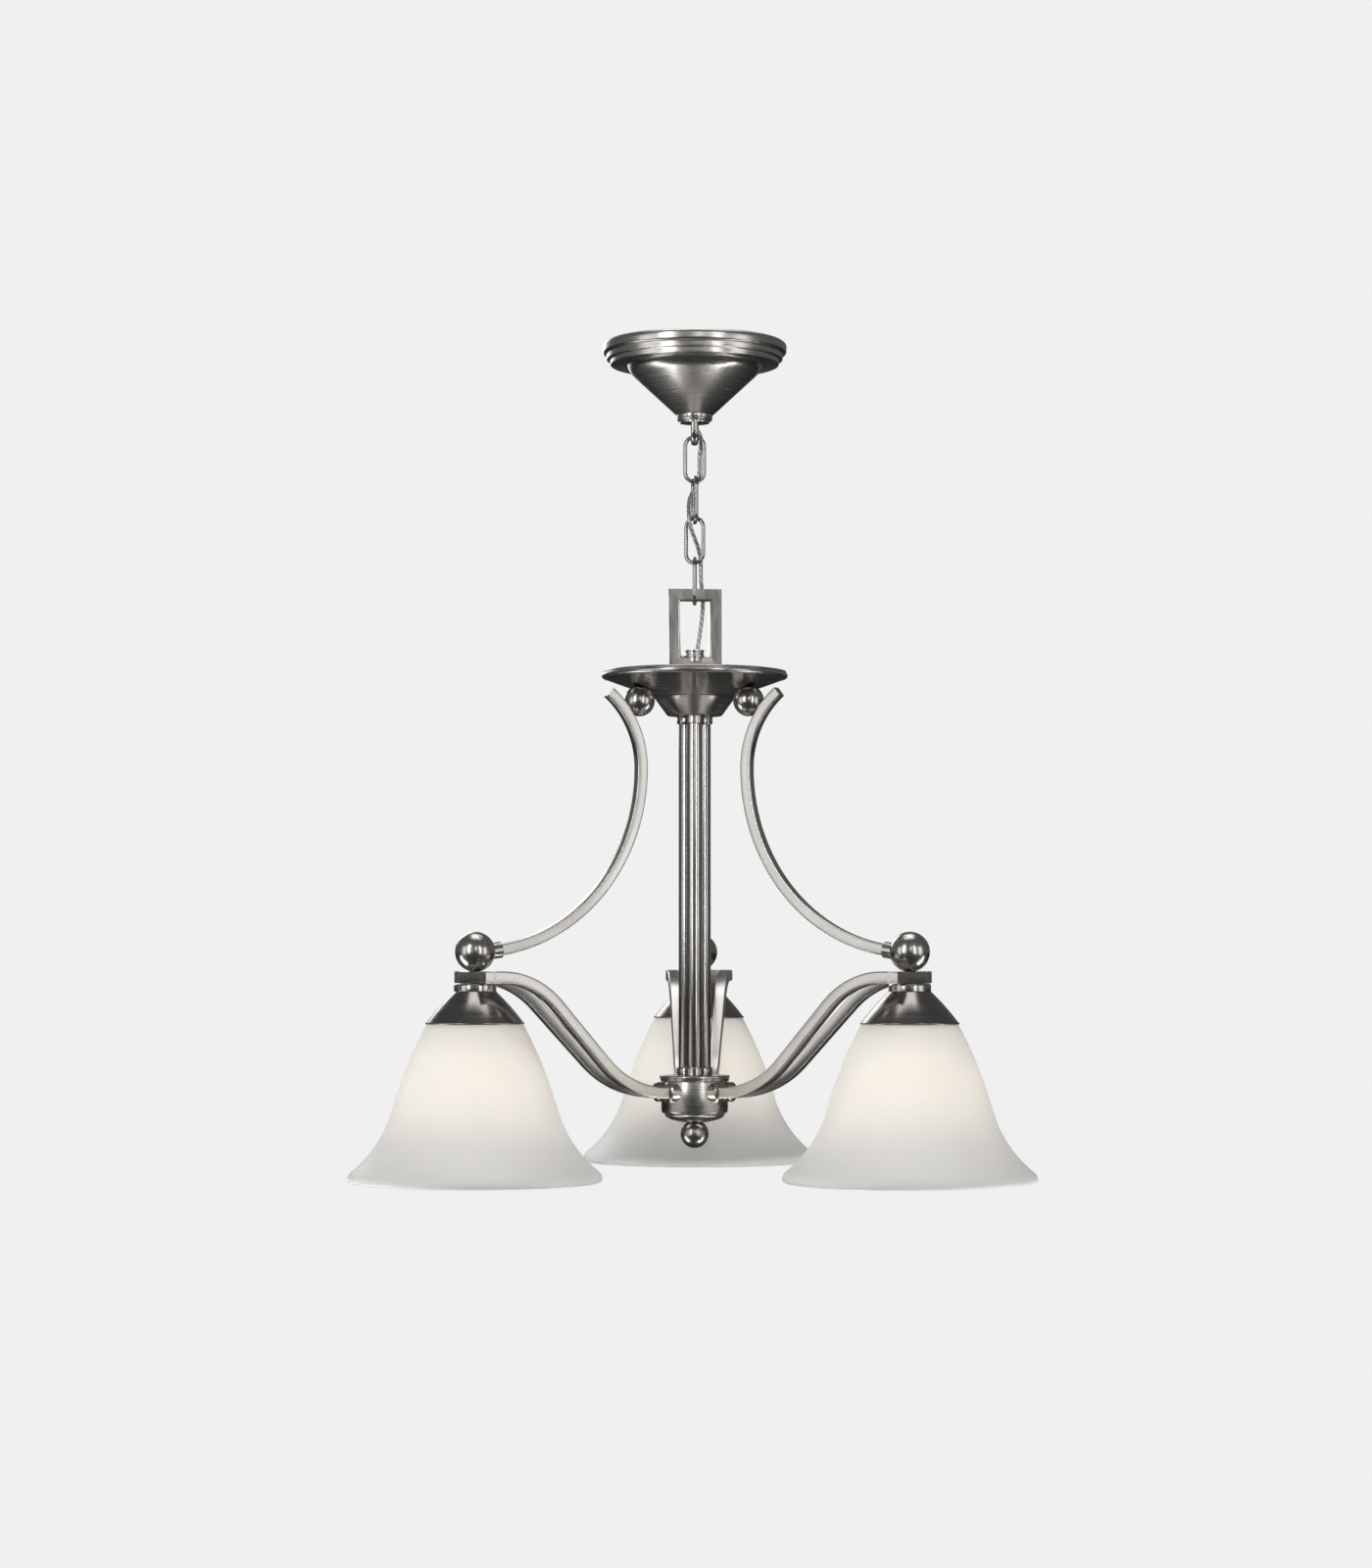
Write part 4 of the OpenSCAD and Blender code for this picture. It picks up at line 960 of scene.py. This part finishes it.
lampSize = {
    "capLength": 33.2,
    "capHeading": 46.3,
    "capBend": -10,
    "capWall": 0.8,
    "gap": 0.35,
    "glass": 3.2,
    "side": 71.0,
    "sideBend": -11.5,
    "flare": 59.0,
    "flareBend": 35.4,
    "startHeading": 27.5,
    "lip": 5.4,
    "socket": 34.0,
    "ringRadius": 16.8,
    "stemBore": 3.3,
    "threads": 9,
    "threadPitch": 2.2,
    "shadeRingOver": 5.2,
}


def lampOutlines(s):
    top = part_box("shade_cap_1")[1].z / mm
    ringR = s["ringRadius"]
    cap = walk((ringR, top), s["capHeading"], [(s["capLength"], s["capBend"])], 12)
    under = [(x, z, h) for (x, z), (_, _, h) in zip(offset(cap, -s["capWall"] - s["gap"]), cap)]
    glass = under[4:]
    x, z, h = glass[-1]
    glass = glass + walk((x, z), h, [(3, s["startHeading"] - h), (s["side"], s["sideBend"]),
                                     (s["flare"], s["flareBend"]), (6.4, -50)], 12)[1:]
    return top, ringR, cap, glass


def addLamps(s):
    top, ringR, cap, glass = lampOutlines(s)
    capIn = offset(cap, -s["capWall"])
    x, z, h = cap[-1]
    bead = arc((x - 0.35, z), 0.9, 20, -160, 8)
    capLine = [(s["stemBore"], top)] + [(p[0], p[1]) for p in cap] + bead + capIn[::-1]
    capLine.append((s["stemBore"], top - s["capWall"]))
    outer = [(p[0], p[1]) for p in glass]
    inner = offset(glass, -s["glass"])
    tipX, tipZ, tipH = glass[-1]
    lipR = s["lip"] / 2
    lipC = (tipX - lipR * math.cos(math.radians(tipH)), tipZ - lipR * math.sin(math.radians(tipH)))
    lip = arc(lipC, lipR, tipH - 8, tipH - 215, 14)
    neck = s["socket"] / 2 + 1.4
    neckTop = outer[0][1]
    shadeLine = [(neck, neckTop)] + outer + lip + inner[::-1][3:] + [(neck, neckTop - s["glass"] * 1.1)]
    ringLow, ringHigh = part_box("fitter_rings")
    bore, zLow, zHigh = s["stemBore"], ringLow.z / mm, ringHigh.z / mm
    ringLine = [(bore, zLow), (ringR, zLow), (ringR, zHigh - 1.6), (ringR - 0.7, zHigh - 0.5),
                (ringR - 1.6, zHigh), (bore, zHigh)]
    socketLow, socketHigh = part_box("sockets")
    sr = s["socket"] / 2
    zs, ze = socketHigh.z / mm, socketLow.z / mm
    socketLine = [(3.4, zs), (sr - 3, zs), (sr - 0.5, zs - 2.5), (sr - 0.5, zs - 14)]
    for i in range(s["threads"]):      # moulded thread that holds the shade ring
        z = zs - s["threadPitch"] * i
        socketLine += [(sr, z - 14.6), (sr - 0.5, z - 15.7)]
    socketLine += [(sr, ze + 1), (sr - 0.6, ze), (13.6, ze), (13.4, ze + 1), (13.4, ze + 28),
                   (3.4, ze + 28)]
    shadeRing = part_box("shade_rings")
    rz = (shadeRing[0].z / mm, shadeRing[1].z / mm)
    rr = sr + s["shadeRingOver"]
    ringNutLine = [(sr + 0.15, rz[1]), (rr, rz[1]), (rr, rz[0] + 1.2), (rr - 1.2, rz[0]),
                   (sr + 0.15, rz[0])]
    for name, line, ease, material, slot, node in (
            ("fitterRings", ringLine, 0.5, nickelSmall, "nickel", "fitter_rings"),
            ("lampSockets", socketLine, 0.25, phenolic, "phenolic", "sockets"),
            ("shadeRings", ringNutLine, 0.4, phenolic, "phenolic", "shade_rings")):
        line = softened(toMetres(line), ease * mm, True)
        bm = bmesh.new()
        for angle in armAngles:
            c = around(angle, armSize["light"] * mm)
            spin(bm, line, (c.x, c.y), 72, True)
        finishPiece(name, bm, material, "fixture", [node])
    for k, angle in enumerate(armAngles):
        c = around(angle, armSize["light"] * mm)
        spunPiece("shadeCap%d" % (k + 1), toMetres(capLine), nickelCapShaded, "fixture",
                  ["shade_cap_%d" % (k + 1)], (c.x, c.y), closed=True, segments=96, sharp=40)
        spunPiece("glassShade%d" % (k + 1), toMetres(shadeLine), shadeGlass, "fixture",
                  ["shade_%d" % (k + 1)], (c.x, c.y), closed=True, segments=128, sharp=50)
        addBulb(k + 1, c)


bulbSize = {"glass": 30.0, "base": 13.1, "baseLength": 25.0, "neck": 11.8, "threads": 6, "pitch": 3.2}


def addBulb(number, c):
    s = bulbSize
    low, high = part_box("bulb_%d" % number)
    top, bottom = high.z / mm, low.z / mm
    join = top - s["baseLength"]
    glassZ = bottom + s["glass"]
    glass = ballOutline(s["glass"], glassZ, -90, 40, 26)
    r0, h0 = glass[-1]
    for i in range(1, 13):
        f = i / 12
        glass.append((s["neck"] + (r0 - s["neck"]) * (1 - f) ** 2, h0 + (join - h0) * f))
    glass.append((0, join))
    base = [(s["neck"] + 0.2, join), (s["base"] - 0.6, join + 0.6), (s["base"] - 0.6, join + 2.4)]
    for i in range(s["threads"]):
        z = join + 3 + s["pitch"] * i
        base += [(s["base"], z + 0.9), (s["base"] - 0.9, z + 2.3)]
    base += [(s["base"] - 1.6, top - 3.2), (s["base"] - 5.5, top - 1.0), (4.6, top - 0.7), (4.2, top),
             (0, top)]
    bm = bmesh.new()
    spin(bm, toMetres(glass), (c.x, c.y), 64)
    glassFaces = len(bm.faces)
    spin(bm, softened(toMetres(base), 0.5 * mm), (c.x, c.y), 64)
    bm.faces.ensure_lookup_table()
    for i in range(glassFaces, len(bm.faces)):
        bm.faces[i].material_index = 1
    finishPiece("bulb%d" % number, bm, bulbGlass, "lamp_%d" % number, ["bulb_%d" % number],
                (c.x, c.y, 0), 50, extra=[brassBase])


addLamps(lampSize)
print("stage: lamps")


# finishes for the CAD pieces that keep their own shape

keptFinishes = {
    "canopy_loop": nickelSmall, "ceiling_bracket": plated, "threaded_stem": plated, "stem_nuts": plated,
    "ground_screw": greenPaint, "wire_connectors": connectorPlastic, "canopy_leads": leadPlastic,
    "tie_rods": plated, "rod_nuts": plated, "arm_bosses": nickelSmall, "strap_plugs": nickelSmall,
    "strap_ferrules": nickelSmall, "fitter_stems": plated, "arm_leads": leadPlastic,
}


def finishKeptParts(finishes):
    for node in sorted(set(nodes) - done):
        mesh = nodes[node].data
        mesh.materials.clear()
        mesh.materials.append(finishes.get(node, nickelSmall))


finishKeptParts(keptFinishes)
print("stage: kept parts")


# studio

aim = (0, 0, -0.42)
studio = {
    "backdrop": 0.871,
    "floorLevel": -1.05,
    "floorSize": 9.0,
    "fill": 0.12,
    "floorBounce": 0.08,
    "lights": (
        ("keyLeft", (-1.5, -2.3, 0.3), aim, (0.5, 2.0), 20),
        ("sideLeft", (-2.2, -1.25, -0.3), aim, (0.9, 1.7), 6.5),
        ("sideRight", (2.2, -1.25, -0.3), aim, (0.9, 1.7), 7.5),
        ("stripRight", (1.3, -2.3, 0.0), aim, (0.2, 2.0), 10),
        ("frontSoft", (0.35, -2.9, 0.5), aim, (0.3, 1.0), 3),
        ("lowLeft", (-0.48, -0.1, -1.0), (-0.22, -0.1, 0), (0.16, 1.5), 5),
        ("lowRight", (0.42, -0.1, -1.0), (0.22, -0.1, 0), (0.08, 1.5), 4),
        ("topSoft", (0, 0.3, 1.6), aim, (1.4, 1.4), 12),
        ("backRim", (-0.9, 2.0, 0.4), aim, (1.0, 1.0), 8),
    ),
}


def addArea(name, place, target, size, power):
    data = bpy.data.lights.new(name, "AREA")
    data.shape = "RECTANGLE"
    data.size, data.size_y = size
    data.energy = power
    light = bpy.data.objects.new(name, data)
    bpy.context.scene.collection.objects.link(light)
    light.location = place
    light.rotation_euler = (Vector(target) - Vector(place)).to_track_quat("-Z", "Y").to_euler()
    light.visible_camera = False


def seenAndLit(tree, outputKind, seen, lit):
    # the camera sees one shader, and every other ray meets the other
    output = addNode(tree, outputKind)
    rays = addNode(tree, "ShaderNodeLightPath")
    mix = addNode(tree, "ShaderNodeMixShader")
    tree.links.new(rays.outputs["Is Camera Ray"], mix.inputs[0])
    tree.links.new(lit.outputs[0], mix.inputs[1])
    tree.links.new(seen.outputs[0], mix.inputs[2])
    tree.links.new(mix.outputs[0], output.inputs[0])


def greyNode(tree, kind, level):
    node = addNode(tree, kind)
    node.inputs[0].default_value = (level, level, level, 1)
    return node


def addStudio(s):
    world = bpy.data.worlds.new("studioWorld")
    bpy.context.scene.world = world
    world.use_nodes = True
    tree = world.node_tree
    tree.nodes.clear()
    seenAndLit(tree, "ShaderNodeOutputWorld", greyNode(tree, "ShaderNodeBackground", s["backdrop"]),
               greyNode(tree, "ShaderNodeBackground", s["fill"]))
    bm = bmesh.new()
    bmesh.ops.create_grid(bm, x_segments=8, y_segments=8, size=s["floorSize"])
    mesh = bpy.data.meshes.new("studioFloor")
    bm.to_mesh(mesh)
    bm.free()
    floor = bpy.data.objects.new("studioFloor", mesh)
    bpy.context.scene.collection.objects.link(floor)
    floor.location = (0, 0, s["floorLevel"])
    material = bpy.data.materials.new("paleFloor")
    material.use_nodes = True
    tree = material.node_tree
    tree.nodes.clear()
    seen = greyNode(tree, "ShaderNodeEmission", s["backdrop"])
    seen.inputs[1].default_value = 1.0
    seenAndLit(tree, "ShaderNodeOutputMaterial", seen,
               greyNode(tree, "ShaderNodeBsdfDiffuse", s["floorBounce"]))
    mesh.materials.append(material)
    for name, place, target, size, power in s["lights"]:
        addArea(name, place, target, size, power)
    bpy.context.scene.view_settings.view_transform = "Standard"


addStudio(studio)
print("stage: studio")
